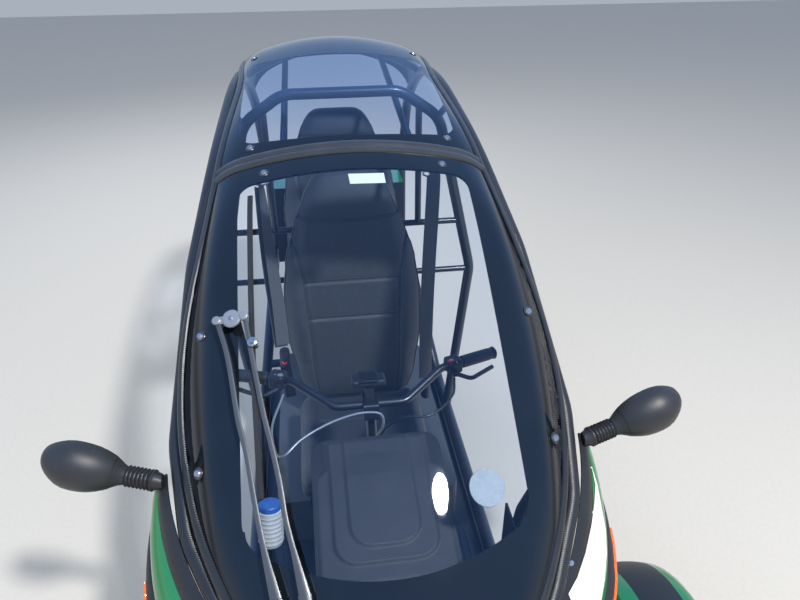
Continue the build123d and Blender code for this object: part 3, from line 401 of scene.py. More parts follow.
@dataclass(frozen=True)
class GrainedPlastic(Finish):
    """Moulded plastic with a leather-like grain."""

    colour: Colour
    roughness: float
    grain: float = 900.0
    depth: float = 0.00025

    def look(self, s: Shader) -> Signal:
        """The finish's shader.

        Args:
            s: the material's tree.

        Returns:
            The shader.
        """
        cells = s.cells(self.grain)
        drift = s.noise(14, 4)
        scuff = s.noise(60, 5).ramp(0.58, 0.75)
        body = s.tones(drift, self.colour, 0.75, 1.35)
        worn = s.mix(scuff * 0.35, body, shade(self.colour, 2.2))
        return s.principled(
            worn,
            Roughness=self.roughness + 0.14 * (drift - 0.5) + 0.08 * scuff,
            Specular_IOR_Level=0.45,
            Normal=s.bump(cells, self.depth),
        )


@dataclass(frozen=True)
class CoatedMetal(Finish):
    """Powder-coated or cast metal with a fine skin."""

    colour: Colour
    roughness: float
    metal: float = 0.0
    grain: float = 420.0
    coat: float = 0.3

    def look(self, s: Shader) -> Signal:
        """The finish's shader.

        Args:
            s: the material's tree.

        Returns:
            The shader.
        """
        skin = s.noise(self.grain, 3)
        drift = s.noise(9, 4)
        body = s.tones(drift, self.colour, 0.78, 1.25)
        return s.principled(
            body,
            Metallic=self.metal,
            Roughness=self.roughness + 0.1 * (skin - 0.5),
            Coat_Weight=self.coat,
            Coat_Roughness=0.15,
            Normal=s.bump(skin, 0.0003),
        )


@dataclass(frozen=True)
class TurnedSteel(Finish):
    """Bare machined metal with fine turning marks."""

    colour: Colour
    roughness: float

    def look(self, s: Shader) -> Signal:
        """The finish's shader.

        Args:
            s: the material's tree.

        Returns:
            The shader.
        """
        lines = s.noise(300, 3, (1, 1, 12))
        tone = s.tones(lines, self.colour, 0.8, 1.1)
        return s.principled(
            tone, Metallic=1.0, Roughness=self.roughness + 0.15 * lines, Normal=s.bump(lines, 0.0001)
        )


@dataclass(frozen=True)
class RibbedRubber(Finish):
    """Black rubber moulding with fine cross ribs and a soft shine."""

    colour: Colour
    roughness: float
    pitch: float = 0.0045

    def look(self, s: Shader) -> Signal:
        """The finish's shader.

        Args:
            s: the material's tree.

        Returns:
            The shader.
        """
        across, along, up = s.axes()
        ribs = (along + up * 0.6 + across * 0.15).wave(self.pitch) * 0.5 + 0.5
        grain = s.noise(700, 2)
        drift = s.noise(20, 3)
        body = s.tones(drift, self.colour, 0.7, 1.5)
        return s.principled(
            body,
            Roughness=self.roughness + 0.12 * grain,
            Specular_IOR_Level=0.6,
            Normal=s.bump(ribs * 0.7 + grain * 0.3, 0.0004),
        )


@dataclass(frozen=True)
class TreadRubber(Finish):
    """Tyre rubber, dusty on its shoulders."""

    colour: Colour

    def look(self, s: Shader) -> Signal:
        """The finish's shader.

        Args:
            s: the material's tree.

        Returns:
            The shader.
        """
        dust = s.noise(30, 6).ramp(0.4, 0.75)
        grain = s.noise(900, 3)
        body = s.mix(dust * 0.5, self.colour, (0.09, 0.085, 0.08))
        return s.principled(body, Roughness=0.78 + 0.1 * grain, Normal=s.bump(grain, 0.0004))


@dataclass(frozen=True)
class Leatherette(Finish):
    """Black seat cover: fine grain, with rows of pinholes on the middle panels."""

    colour: Colour
    half: float
    hole_pitch: float = 0.0075
    lean: float = 0.0

    def look(self, s: Shader) -> Signal:
        """The finish's shader.

        Args:
            s: the material's tree.

        Returns:
            The shader.
        """
        across, along, up = s.axes()
        run = up * math.cos(self.lean) + along * math.sin(self.lean)
        if self.lean > 1:
            run = along
        grain = s.cells(750)
        crease = s.noise(46, 5)
        rows = (across.wave(self.hole_pitch) * run.wave(self.hole_pitch)).ramp(0.35, 0.75)
        middle = 1 - abs(across).ramp(self.half - 0.006, self.half)
        holes = rows * middle
        body = s.tones(crease, self.colour, 0.8, 1.3)
        pierced = s.mix(holes * 0.8, body, shade(self.colour, 0.25))
        relief = s.bump(grain * 0.5 + crease * 0.5, 0.0006)
        return s.principled(
            pierced,
            Roughness=0.42 + 0.12 * crease + 0.2 * holes,
            Specular_IOR_Level=0.5,
            Sheen_Weight=0.08,
            Sheen_Roughness=0.4,
            Normal=s.bump(1 - holes, 0.0008, relief),
        )


@dataclass(frozen=True)
class BorderedGlass(Finish):
    """Curved glass with a black fired border round one clear window.

    The window's front and rear edges bow with the square of the distance across, and its corners are round.
    """

    tint: Colour
    front: float
    front_bow: float
    rear: float
    rear_bow: float
    half: float
    corner: float
    # how far outside the window the glass starts and ends to roll over to its edge
    roll_start: float = 0.038
    roll_end: float = 0.115
    shine: Colour = (0.75, 0.85, 1.0)

    def look(self, s: Shader) -> Signal:
        """The finish's shader.

        Args:
            s: the material's tree.

        Returns:
            The shader.
        """
        across, along, _ = s.axes()
        square = across * across
        side = abs(across) - (self.half - self.corner)
        ahead = (square * self.front_bow + self.front) - along
        behind = along - (square * self.rear_bow + self.rear)
        end = ahead.at_least(behind) + self.corner
        over = (side.at_least(0.0) * side.at_least(0.0) + end.at_least(0.0) * end.at_least(0.0)).root()
        edge = over + side.at_least(end).at_most(0.0) - self.corner
        border = edge.ramp(-0.0006, 0.0006)
        inside = s.node("ShaderNodeNewGeometry", {}, {}, "Backfacing")
        fresnel = s.node("ShaderNodeFresnel", {}, {"IOR": 1.5}) * (1.0 - inside)
        film = s.node("ShaderNodeBsdfTransparent", {}, {"Color": (*self.tint, 1.0)})
        mirror = s.node("ShaderNodeBsdfGlossy", {}, {"Color": (*self.shine, 1.0), "Roughness": 0.02})
        pane = s.node("ShaderNodeMixShader", {}, {0: fresnel, 1: film, 2: mirror})
        smear = s.noise(7, 3)
        enamel = s.principled(
            s.mix(smear, (0.004, 0.006, 0.010), (0.008, 0.011, 0.017)),
            Roughness=0.05 + 0.03 * smear,
            Specular_IOR_Level=0.5,
            Normal=s.rolled(across, self.half + self.roll_start, self.half + self.roll_end),
        )
        return s.node("ShaderNodeMixShader", {}, {0: border, 1: pane, 2: enamel})


@dataclass(frozen=True)
class MirrorGlass(Finish):
    """Silvered glass."""


    def look(self, s: Shader) -> Signal:
        """The finish's shader."""
        dust = s.noise(80, 4)
        return s.principled((0.85, 0.87, 0.88), Metallic=1.0, Roughness=0.02 + 0.04 * dust)


@dataclass(frozen=True)
class FenderPaint(Finish):
    """Front fender: black moulded crown between green flanks."""

    paint: Colour
    crown: Colour
    middle: float
    half: float

    def look(self, s: Shader) -> Signal:
        """The finish's shader.

        Args:
            s: the material's tree.

        Returns:
            The shader.
        """
        across, _, _ = s.axes()
        away = abs(abs(across) - self.middle)
        flank = away.ramp(self.half - 0.0008, self.half + 0.0008)
        flake = s.noise(2600, 2)
        drift = s.noise(4, 3)
        paint = s.tones(drift, self.paint, 0.85, 1.12)
        dull = s.tones(drift, self.crown, 0.8, 1.3)
        return s.principled(
            s.mix(flank, dull, paint),
            Roughness=0.46 - 0.16 * flank + 0.06 * flake,
            Coat_Weight=flank * 0.9,
            Coat_Roughness=0.04,
            Normal=s.bump(s.cells(700) * (1 - flank), 0.0002),
        )


@dataclass(frozen=True)
class LampLens(Finish):
    """Clear or coloured lens, moulded in fine flutes."""

    colour: Colour
    alpha: float = 1.0

    def look(self, s: Shader) -> Signal:
        """The finish's shader.

        Args:
            s: the material's tree.

        Returns:
            The shader.
        """
        across, _, up = s.axes()
        flutes = across.wave(0.006) * 0.5 + up.wave(0.006) * 0.5
        drift = s.noise(50, 2)
        body = s.tones(drift, self.colour, 0.8, 1.2)
        return s.principled(
            body,
            Roughness=0.12 + 0.06 * drift,
            Coat_Weight=1.0,
            Coat_Roughness=0.03,
            Alpha=self.alpha,
            Normal=s.bump(flutes, 0.0006),
        )


@dataclass(frozen=True)
class Webbing(Finish):
    """Woven belt webbing."""

    colour: Colour

    def look(self, s: Shader) -> Signal:
        """The finish's shader.

        Args:
            s: the material's tree.

        Returns:
            The shader.
        """
        uv = s.node("ShaderNodeTexCoord", {}, {}, "UV")
        across, along, _ = s.axes(uv)
        twill = (across * 0.7 + along).wave(0.0032) * 0.5 + 0.5
        rows = across.wave(0.0048) * 0.5 + 0.5
        weave = twill * 0.6 + rows * 0.4
        body = s.tones(weave, self.colour, 0.6, 1.5)
        return s.principled(body, Roughness=0.7 + 0.1 * weave, Sheen_Weight=0.2, Normal=s.bump(weave, 0.0005))


BODY_GREEN: Colour = (0.004, 0.185, 0.045)
TRUNK_FRONT_WALL = 0.007
FLOOR = PaleFloor("pale_floor", (0.62, 0.61, 0.59))
GREEN = GlossPaint("green_paint_coat", BODY_GREEN)
# The trunk's front wall is near-black, without clear coat.
TRUNK_PAINT = GlossPaint("trunk_paint_coat", BODY_GREEN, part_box("trunk")[0].y + TRUNK_FRONT_WALL)
PLASTIC = GrainedPlastic("black_plastic_skin", (0.016, 0.017, 0.019), 0.5)
SHELL_PLASTIC = GrainedPlastic("mirror_shell_skin", (0.024, 0.026, 0.029), 0.42, 1400.0, 0.0001)
CONSOLE_PLASTIC = GrainedPlastic("console_skin", (0.034, 0.036, 0.041), 0.55, 420.0, 0.0005)
TUBE_COAT = CoatedMetal("black_tube_coat", (0.012, 0.013, 0.015), 0.34)
CAST = CoatedMetal("cast_alloy_skin", (0.42, 0.43, 0.44), 0.45, 1.0, 600.0, 0.0)
RIM_COAT = CoatedMetal("rim_coat", (0.02, 0.021, 0.023), 0.3, 0.3, 500.0, 0.6)
BATTERY = CoatedMetal("battery_coat", (0.06, 0.065, 0.07), 0.5)
STEEL = TurnedSteel("machined_steel", (0.5, 0.5, 0.51), 0.24)
ARM_COAT = CoatedMetal("wiper_arm_coat", (0.07, 0.078, 0.088), 0.36, 0.3, 500.0, 0.3)
SILVER_COAT = CoatedMetal("silver_coat", (0.32, 0.33, 0.35), 0.4, 0.6, 500.0, 0.0)
TRIM = RibbedRubber("black_trim_rubber", (0.012, 0.0125, 0.014), 0.3)
BELLOWS = RibbedRubber("bellows_rubber", (0.015, 0.0155, 0.017), 0.4, 0.02)
TREAD = TreadRubber("tread_rubber", (0.018, 0.018, 0.019))
LAMP_CLEAR = LampLens("clear_lens", (0.75, 0.78, 0.82), 0.75)
LAMP_RED = LampLens("red_lens", (0.42, 0.008, 0.008))
AMBER = LampLens("amber_lens", (0.85, 0.16, 0.01))
WHITE_LABEL = GlossPaint("white_label", (0.86, 0.86, 0.84))
BELT = Webbing("belt_webbing", (0.08, 0.081, 0.085))
# Painted light: the seat backs take the cushions' black leather made about 1.4 times lighter, to look sunlit.
LIGHTENED_SEAT_BACK_COVER = Leatherette("seat_back_cover_painted_light", (0.044, 0.046, 0.051), 0.15, lean=math.radians(13))
CUSHION_COVER = Leatherette("cushion_cover", (0.032, 0.034, 0.039), 0.15, lean=2.0)
# front edge and its bow, rear edge and its bow, half width and corner of the clear window
WINDSHIELD_GLASS = BorderedGlass(
    "windshield_pane", (0.90, 0.94, 0.985), -1.049, 1.07, -0.200, 0.0, 0.306, 0.04
)
ROOF_GLASS = BorderedGlass("roof_pane", (0.78, 0.85, 0.95), -0.068, 0.35, 0.54, 0.0, 0.31, 0.05)
THREAD = CoatedMetal("seat_thread", (0.16, 0.17, 0.19), 0.6, 0.0, 900.0, 0.0)
PIPING = GrainedPlastic("seat_piping", (0.022, 0.024, 0.028), 0.35, 1500.0, 0.0001)
MOULDING = RibbedRubber("joint_rubber", (0.03, 0.031, 0.033), 0.22, 0.03)
KNURLED = RibbedRubber("edge_rubber", (0.014, 0.0145, 0.016), 0.25, 0.006)
MIRROR_FACE = MirrorGlass("mirror_face")
RED_BUTTON = LampLens("red_button", (0.75, 0.03, 0.01))
WHITE_PLASTIC = GrainedPlastic("white_plastic", (0.55, 0.56, 0.57), 0.45, 900.0, 0.0001)
BLUE_CAP = GrainedPlastic("blue_cap", (0.03, 0.12, 0.42), 0.4, 900.0, 0.0001)
FROSTED = LampLens("frosted_plastic", (0.42, 0.45, 0.47), 0.85)
SCREEN = MirrorGlass("dark_screen")
SPRING_COAT = CoatedMetal("spring_coat", (0.02, 0.021, 0.023), 0.3, 0.4, 500.0, 0.5)
FENDER_PAINT = FenderPaint("fender_paint", BODY_GREEN, (0.012, 0.014, 0.017), HALF_TRACK, 0.055)


class Palette:
    """Materials made once each."""

    def __init__(self) -> None:
        """Start with no materials."""
        self._made: dict[str, Material] = {}

    def get(self, finish: Finish) -> Material:
        """The material of a finish."""
        if finish.name not in self._made:
            self._made[finish.name] = finish.build()
        return self._made[finish.name]


PALETTE = Palette()


# Camera, floor and lamps


@dataclass(frozen=True)
class PhotoCamera:
    """The camera that took the photograph, worked out from the vehicle's own sizes."""

    place: Point = (-0.106, -1.896, 2.070)
    yaw: float = math.radians(-7.68)
    pitch: float = math.radians(30.58)
    roll: float = math.radians(0.27)
    focal: float = 665.1
    sensor: float = 36.0

    def axes(self) -> tuple[Vector, Vector, Vector]:
        """Right, down and forward of the picture.

        Returns:
            Three unit vectors.
        """
        forward = Vector(
            (
                -math.sin(self.yaw) * math.cos(self.pitch),
                math.cos(self.yaw) * math.cos(self.pitch),
                -math.sin(self.pitch),
            )
        )
        right = Vector((math.cos(self.yaw), math.sin(self.yaw), 0))
        down = forward.cross(right)
        turn, rise = math.cos(self.roll), math.sin(self.roll)
        return turn * right + rise * down, turn * down - rise * right, forward

    def ray(self, px: float, py: float) -> Vector:
        """Direction through one pixel of the photograph.

        Args:
            px: pixels from the left.
            py: pixels from the top.

        Returns:
            The unit direction.
        """
        right, down, forward = self.axes()
        across = (px - PHOTO_SIZE[0] / 2) / self.focal
        below = (py - PHOTO_SIZE[1] / 2) / self.focal
        return (forward + across * right + below * down).normalized()

    def build(self) -> None:
        """Make the camera and use it."""
        data = bpy.data.cameras.new("photo_camera")
        data.sensor_width = self.sensor
        data.lens = self.focal * self.sensor / PHOTO_SIZE[0]
        data.clip_start = 0.02
        camera = add_object("photo_camera", data)
        right, down, forward = self.axes()
        turn = Matrix((right, -down, -forward)).transposed().to_4x4()
        camera.matrix_world = Matrix.Translation(Vector(self.place)) @ turn
        bpy.context.scene.camera = camera


PHOTO_CAMERA = PhotoCamera()


@dataclass
class Studio:
    """Pale floor, sky light and soft lamps."""

    floor_size: float = 30.0
    sky_colour: Colour = (0.72, 0.80, 0.92)
    sky_strength: float = 0.55
    mirrored_strength: float = 2.0
    ground: Colour = (0.15, 0.135, 0.12)
    horizon: tuple = ((0.48, (0.2, 0.19, 0.18)), (0.54, (0.34, 0.41, 0.50)), (0.72, (0.16, 0.30, 0.60)))
    zenith: Colour = (0.09, 0.21, 0.50)
    aim: Point = (0, -0.2, 0.7)
    # name, place, energy, size and colour
    lamps: tuple = (
        ("key_lamp", (2.0, -3.7, 6.0), 480.0, 0.5, (1.0, 0.96, 0.90)),
        ("fill_lamp", (-4.0, -3.0, 3.4), 60.0, 3.0, (0.9, 0.95, 1.0)),
        ("back_lamp", (-1.5, 4.5, 4.5), 110.0, 2.5, (1.0, 1.0, 1.0)),
    )

    def build(self) -> None:
        """Make the floor, the world, the lamps and the camera."""
        bpy.context.scene.view_settings.view_transform = "Standard"
        PHOTO_CAMERA.build()
        half = self.floor_size / 2
        corners = [(-half, -half, 0), (half, -half, 0), (half, half, 0), (-half, half, 0)]
        floor = mesh_object("floor", corners, [(0, 1, 2, 3)], FLOOR)
        self._world()
        for name, place, energy, size, colour in self.lamps:
            data = bpy.data.lights.new(name, "AREA")
            data.shape = "DISK"
            data.energy = energy
            data.size = size
            data.color = colour
            lamp = add_object(name, data)
            lamp.visible_glossy = size < 1
            turn = (Vector(self.aim) - Vector(place)).to_track_quat("-Z", "Y").to_matrix().to_4x4()
            lamp.matrix_world = Matrix.Translation(Vector(place)) @ turn

    def _world(self) -> None:
        """Make the even sky, with a deeper blue where it is mirrored."""
        world = bpy.data.worlds.new("studio_sky")
        world.use_nodes = True
        tree = world.node_tree
        kinds = {
            "mirrored": "Background", "ramp": "ValToRGB", "split": "SeparateXYZ", "place": "TexCoord",
            "path": "LightPath", "mix": "MixShader", "share": "MapRange",
        }
        nodes = {name: tree.nodes.new("ShaderNode" + kind) for name, kind in kinds.items()}
        nodes |= {"even": tree.nodes["Background"], "end": tree.nodes["World Output"]}
        for name, socket, value in (
            ("even", "Color", (*self.sky_colour, 1.0)), ("even", "Strength", self.sky_strength),
            ("mirrored", "Strength", self.mirrored_strength), ("share", "From Min", -1.0),
        ):
            nodes[name].inputs[socket].default_value = value
        colours = nodes["ramp"].color_ramp.elements
        colours[0].color, colours[1].color = (*self.ground, 1), (*self.zenith, 1)
        for position, colour in self.horizon:
            colours.new(position).color = (*colour, 1)
        for source, out, target, into in (
            ("place", "Generated", "split", 0), ("split", "Z", "share", "Value"), ("share", 0, "ramp", 0),
            ("ramp", 0, "mirrored", "Color"), ("path", "Is Glossy Ray", "mix", 0), ("even", 0, "mix", 1),
            ("mirrored", 0, "mix", 2), ("mix", 0, "end", "Surface"),
        ):
            tree.links.new(nodes[source].outputs[out], nodes[target].inputs[into])
        bpy.context.scene.world = world


# Mesh tools


def add_object(name: str, data: bpy.types.ID) -> Piece:
    """New object in the scene.

    Args:
        name: its name.
        data: its mesh, lamp or camera.

    Returns:
        The object.
    """
    made = bpy.data.objects.new(name, data)
    bpy.context.scene.collection.objects.link(made)
    return made


def mesh_object(
    name: str, vertices: Iterable, faces: Iterable, finish: Finish, edges: Sequence = (),
) -> Piece:
    """Make a mesh piece at the origin.

    Args:
        name: the piece's name.
        vertices: its points in the frame.
        faces: corner indices of its faces.
        finish: what it is made of.
        edges: end indices of its loose edges.

    Returns:
        The object.
    """
    data = bpy.data.meshes.new(name)
    data.from_pydata([tuple(v) for v in vertices], edges, [tuple(f) for f in faces])
    data.materials.append(PALETTE.get(finish))
    data.update()
    return add_object(name, data)


def coat(made: Piece, finish: Finish) -> None:
    """Give a piece one finish."""
    made.data.materials.clear()
    made.data.materials.append(PALETTE.get(finish))


def bake(made: Piece) -> None:
    """Turn a piece's modifiers into its mesh.

    Args:
        made: the piece.
    """
    bpy.context.view_layer.update()
    result = bpy.data.meshes.new_from_object(made.evaluated_get(bpy.context.evaluated_depsgraph_get()))
    made.modifiers.clear()
    old = made.data
    made.data = result
    bpy.data.meshes.remove(old)


def tidy_mesh(made: Piece, angle: float = 35.0) -> Piece:
    """Merge doubles, point the faces outwards and shade them smoothly.

    Args:
        made: the piece.
        angle: edges sharper than this stay sharp, in degrees.

    Returns:
        The same piece.
    """
    edit = bmesh.new()
    edit.from_mesh(made.data)
    bmesh.ops.remove_doubles(edit, verts=edit.verts, dist=1e-6)
    bmesh.ops.recalc_face_normals(edit, faces=edit.faces)
    for edge in edit.edges:
        if len(edge.link_faces) == 2:
            edge.smooth = edge.calc_face_angle(0) < math.radians(angle)
    for face in edit.faces:
        face.smooth = True
    edit.to_mesh(made.data)
    edit.free()
    return made


def join_parts(name: str, parts: Sequence[Piece]) -> Piece:
    """Join mesh objects into one piece.

    Args:
        name: the joined piece's name.
        parts: the objects, each with its own materials.

    Returns:
        The joined piece.
    """
    edit = bmesh.new()
    materials: list[Material] = []
    for part in parts:
        start = len(edit.faces)
        edit.from_mesh(part.data)
        edit.faces.ensure_lookup_table()
        slots = [m for m in part.data.materials]
        for m in slots:
            if m not in materials:
                materials.append(m)
        for face in edit.faces[start:]:
            face.material_index = materials.index(slots[face.material_index])
    data = bpy.data.meshes.new(name)
    edit.to_mesh(data)
    edit.free()
    for m in materials:
        data.materials.append(m)
    for part in parts:
        bpy.data.objects.remove(part)
    return add_object(name, data)


def place_piece(made: Piece, body: Bodies = Bodies.CHASSIS) -> Piece:
    """Let a piece ride on a body.

    Args:
        made: the piece.
        body: what it moves with.

    Returns:
        The same piece.
    """
    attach(made, body.value)
    LOG.info("%s: %d faces on %s", made.name, len(made.data.polygons), body.value)
    return made


def place_parts(name: str, parts: Sequence[Piece], body: Bodies = Bodies.CHASSIS) -> Piece:
    """Join parts into one piece and place it."""
    return place_piece(join_parts(name, parts), body)


def frame_of(normal: Vector, hint: Vector = Vector((0, 1, 0))) -> Matrix:
    """Turn that takes Z to a normal and keeps X square to a hint.

    Args:
        normal: where Z goes.
        hint: what X stays square to.

    Returns:
        The turn.
    """
    up = normal.normalized()
    across = hint.cross(up)
    if across.length < 1e-6:
        across = Vector((1, 0, 0)).cross(up)
    across.normalize()
    return Matrix((across, up.cross(across), up)).transposed()


def relaxed(path: Sequence[Vector], times: int) -> list[Vector]:
    """Path with its kinks eased and its ends kept.

    Args:
        path: the places along it.
        times: how often to ease it.

    Returns:
        The eased path.
    """
    for _ in range(times):
        path = [path[0]] + [(a + 2 * b + c) / 4 for a, b, c in zip(path, path[1:], path[2:])] + [path[-1]]
    return path


def smooth_path(points: Sequence[Point], steps: int) -> list[Vector]:
    """Curve through points, evenly stepped between them.

    Args:
        points: the places it passes.
        steps: how many pieces between two of them.

    Returns:
        The places along it.
    """
    rows = [Vector(p) for p in points]
    rows = [2 * rows[0] - rows[1]] + rows + [2 * rows[-1] - rows[-2]]
    path = []
    for a, b, c, d in zip(rows, rows[1:], rows[2:], rows[3:]):
        for step in range(steps):
            t = step / steps
            bend, twist = 2 * a - 5 * b + 4 * c - d, 3 * b - a - 3 * c + d
            path.append(0.5 * ((2 * b) + (c - a) * t + bend * t * t + twist * t**3))
    path.append(rows[-2])
    return path


def loft(name: str, rows: Sequence[Sequence[Vector]], finish: Finish, closed: bool = False,
         angle: float = 35.0) -> Piece:
    """Skin over a row of closed loops.

    Args:
        name: the piece's name.
        rows: the loops, with as many points each.
        finish: what it is made of.
        closed: whether the last loop joins the first; else both ends are capped.
        angle: edges sharper than this stay sharp, in degrees.

    Returns:
        The piece.
    """
    count, faces = len(rows[0]), []
    for row in range(len(rows) - (not closed)):
        near, far = row * count, (row + 1) % len(rows) * count
        for side in range(count):
            after = (side + 1) % count
            faces.append((near + side, near + after, far + after, far + side))
    if not closed:
        faces.append(tuple(reversed(range(count))))
        faces.append(tuple(range((len(rows) - 1) * count, len(rows) * count)))
    return tidy_mesh(mesh_object(name, [point for row in rows for point in row], faces, finish), angle)


def sweep(
    name: str, path: Sequence[Point], profile: Pairs, finish: Finish,
    ups: Sequence[Point] | None = None, scale: Sequence[float] | None = None,
) -> Piece:
    """Closed section swept along a path.

    Args:
        name: the piece's name.
        path: places along it.
        profile: the section's corners, across and up.
        finish: what it is made of.
        ups: the section's up at each place, or none to keep it steady.
        scale: size of the section at each place.

    Returns:
        The piece.
    """
    path = [Vector(p) for p in path]
    rows = []
    up = Vector(ups[0]) if ups else Vector((0, 0, 1))
    for index, place in enumerate(path):
        ahead = path[min(index + 1, len(path) - 1)] - path[max(index - 1, 0)]
        ahead.normalize()
        up = Vector(ups[index]) if ups else up
        up = (up - ahead * up.dot(ahead)).normalized()
        across = ahead.cross(up)
        size = scale[index] if scale else 1.0
        rows.append([place + across * a * size + up * b * size for a, b in profile])
    return loft(name, rows, finish)


def ring(radius: float, sides: int) -> list[Pair]:
    """Corners of a round section."""
    angles = [math.tau * i / sides for i in range(sides)]
    return [(radius * math.cos(angle), radius * math.sin(angle)) for angle in angles]


def lathe(
    name: str, place: Point, axis: Point, profile: Pairs, finish: Finish,
    steps: int = 32, squash: float = 1.0, flat: Point = (0, 1, 0),
) -> Piece:
    """Turned form about an axis.

    Args:
        name: the piece's name.
        place: where the profile starts.
        axis: which way it runs.
        profile: distance along the axis and radius, in pairs.
        finish: what it is made of.
        steps: sides round the axis.
        squash: size of the section along flat, as a share.
        flat: the direction that is squashed.

    Returns:
        The piece.
    """
    turn, place = frame_of(Vector(axis), Vector(flat)), Vector(place)
    rows = []
    for along, radius in profile:
        section = ring(max(radius, 1e-5), steps)
        rows.append([place + turn @ Vector((a, b * squash, along)) for a, b in section])
    return loft(name, rows, finish)


class Skin:
    """Outer surface of a CAD node, to seat pieces on."""

    def __init__(self, *nodes: str) -> None:
        """Read the nodes' meshes."""
        vertices, faces = [], []
        for node in nodes:
            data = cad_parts[node].data
            start = len(vertices)
            vertices += [v.co.copy() for v in data.vertices]
            faces += [[start + i for i in p.vertices] for p in data.polygons]
        self.tree = BVHTree.FromPolygons(vertices, faces)

    def cast(self, start: Point, way: Point) -> tuple[Vector, Vector] | None:
        """First hit of a ray and its normal.

        Args:
            start: where the ray starts.
            way: where it goes.

        Returns:
            Place and normal, or none.
        """
        place, normal, _, _ = self.tree.ray_cast(Vector(start), Vector(way))
        if place is None:
            return None
        return place, normal if normal.dot(Vector(way)) < 0 else -normal

    def met(self, start: Point, way: Point) -> tuple[Vector, Vector]:
        """First hit of a ray that has to meet the surface, and its normal.

        Args:
            start: where the ray starts.
            way: where it goes.

        Returns:
            Place and normal.
        """
        hit = self.cast(start, way)
        if hit is None:
            raise ValueError(f"the ray from {tuple(start)} along {tuple(way)} misses the surface")
        return hit

    def seen(self, px: float, py: float) -> tuple[Vector, Vector]:
        """Where a pixel of the photograph falls on the surface."""
        return self.met(PHOTO_CAMERA.place, PHOTO_CAMERA.ray(px, py))

    def seats(self, rays: Iterable[tuple[Point, Point]]) -> Seats:
        """Hits and normals of those rays that meet the surface."""
        return [hit for start, way in rays if (hit := self.cast(start, way))]

    def above(self, x: float, y: float) -> tuple[Vector, Vector]:
        """The surface seen from straight above."""
        return self.met((x, y, 3.0), (0, 0, -1))


# Geometry Nodes


class NodeTree:
    """A Geometry Nodes tree built in code, with named inputs."""

    def __init__(self, name: str) -> None:
        """Start a tree with a geometry in and out."""
        self.tree = bpy.data.node_groups.new(name, "GeometryNodeTree")
        self.tree.interface.new_socket("Geometry", in_out="INPUT", socket_type="NodeSocketGeometry")
        self.tree.interface.new_socket("Geometry", in_out="OUTPUT", socket_type="NodeSocketGeometry")
        self.start = self.tree.nodes.new("NodeGroupInput")
        self.end = self.tree.nodes.new("NodeGroupOutput")

    def value(self, name: str, kind: str, default: object) -> Socket:
        """Add a named input and return its socket in the tree."""
        socket = self.tree.interface.new_socket(name, in_out="INPUT", socket_type=kind)
        socket.default_value = default
        return self.start.outputs[name]

    def node(self, kind: str, settings: dict, values: dict) -> bpy.types.Node:
        """Add a node to the tree."""
        return add_node(self.tree, kind, settings, values)

    def finish(self, geometry: Socket, finish: Finish) -> None:
        """Realize the instances, set their finish and end the tree."""
        realized = self.node("GeometryNodeRealizeInstances", {}, {"Geometry": geometry})
        values = {"Geometry": realized.outputs[0], "Material": PALETTE.get(finish)}
        dressed = self.node("GeometryNodeSetMaterial", {}, values)
        self.tree.links.new(dressed.outputs[0], self.end.inputs[0])

    def apply(self, base: Piece, inputs: dict[str, object]) -> Piece:
        """Run the tree on an object and keep the result as a plain mesh.

        Args:
            base: the object whose points or faces the tree starts from.
            inputs: values of the named inputs.

        Returns:
            The same object with its new mesh.
        """
        modifier = base.modifiers.new("repeat", "NODES")
        modifier.node_group = self.tree
        for item in self.tree.interface.items_tree:
            if getattr(item, "in_out", "") == "INPUT" and item.name in inputs:
                modifier[item.identifier] = inputs[item.name]
        bake(base)
        return base


def screw_tree() -> NodeTree:
    """Button-head screws with a hex socket, one on each point of the base, along its normal.

    Returns:
        The tree, with the head's Radius and Height as inputs.
    """
    t = NodeTree("screw_heads")
    radius = t.value("Radius", "NodeSocketFloat", 0.006)
    height = t.value("Height", "NodeSocketFloat", 0.003)
    socket_radius = t.node("ShaderNodeMath", {"operation": "MULTIPLY"}, {0: radius, 1: 0.45}).outputs[0]
    top_radius = t.node("ShaderNodeMath", {"operation": "MULTIPLY"}, {0: radius, 1: 0.72}).outputs[0]
    values = {"Vertices": 20, "Radius Top": top_radius, "Radius Bottom": radius, "Depth": height}
    head = t.node("GeometryNodeMeshCone", {}, values)
    values = {"Vertices": 6, "Radius Top": socket_radius, "Radius Bottom": socket_radius, "Depth": 0.0006}
    rim = t.node("GeometryNodeMeshCone", {}, values)
    lift = t.node("ShaderNodeCombineXYZ", {}, {"Z": height}).outputs[0]
    raised = t.node("GeometryNodeTransform", {}, {"Geometry": rim.outputs[0], "Translation": lift})
    both = t.node("GeometryNodeJoinGeometry", {}, {})
    t.tree.links.new(head.outputs[0], both.inputs[0])
    t.tree.links.new(raised.outputs[0], both.inputs[0])
    facing = t.node("GeometryNodeInputNamedAttribute", {"data_type": "FLOAT_VECTOR"}, {"Name": "facing"})
    turn = t.node("FunctionNodeAlignRotationToVector", {"axis": "Z"}, {"Vector": facing.outputs[0]})
    points = t.node("GeometryNodeMeshToPoints", {}, {"Mesh": t.start.outputs[0]})
    values = {"Points": points.outputs[0], "Instance": both.outputs[0], "Rotation": turn.outputs[0]}
    t.finish(t.node("GeometryNodeInstanceOnPoints", {}, values).outputs[0], STEEL)
    return t


def screws(name: str, seats: Seats, size: Pair, gap: float = 0.0, body: Bodies = Bodies.CHASSIS) -> Piece:
    """Screw heads on a list of seats.

    Args:
        name: the piece's name.
        seats: place and normal of each.
        size: the head's radius and height.
        gap: how far each stands out from its seat.
        body: what they move with.

    Returns:
        The piece.
    """
    base = mesh_object(name, [place + normal * gap for place, normal in seats], [], STEEL)
    facing = base.data.attributes.new("facing", "FLOAT_VECTOR", "POINT")
    for index, (_, normal) in enumerate(seats):
        facing.data[index].vector = normal.normalized()
    return place_piece(screw_tree().apply(base, dict(zip(("Radius", "Height"), size))), body)


# Sub-assemblies


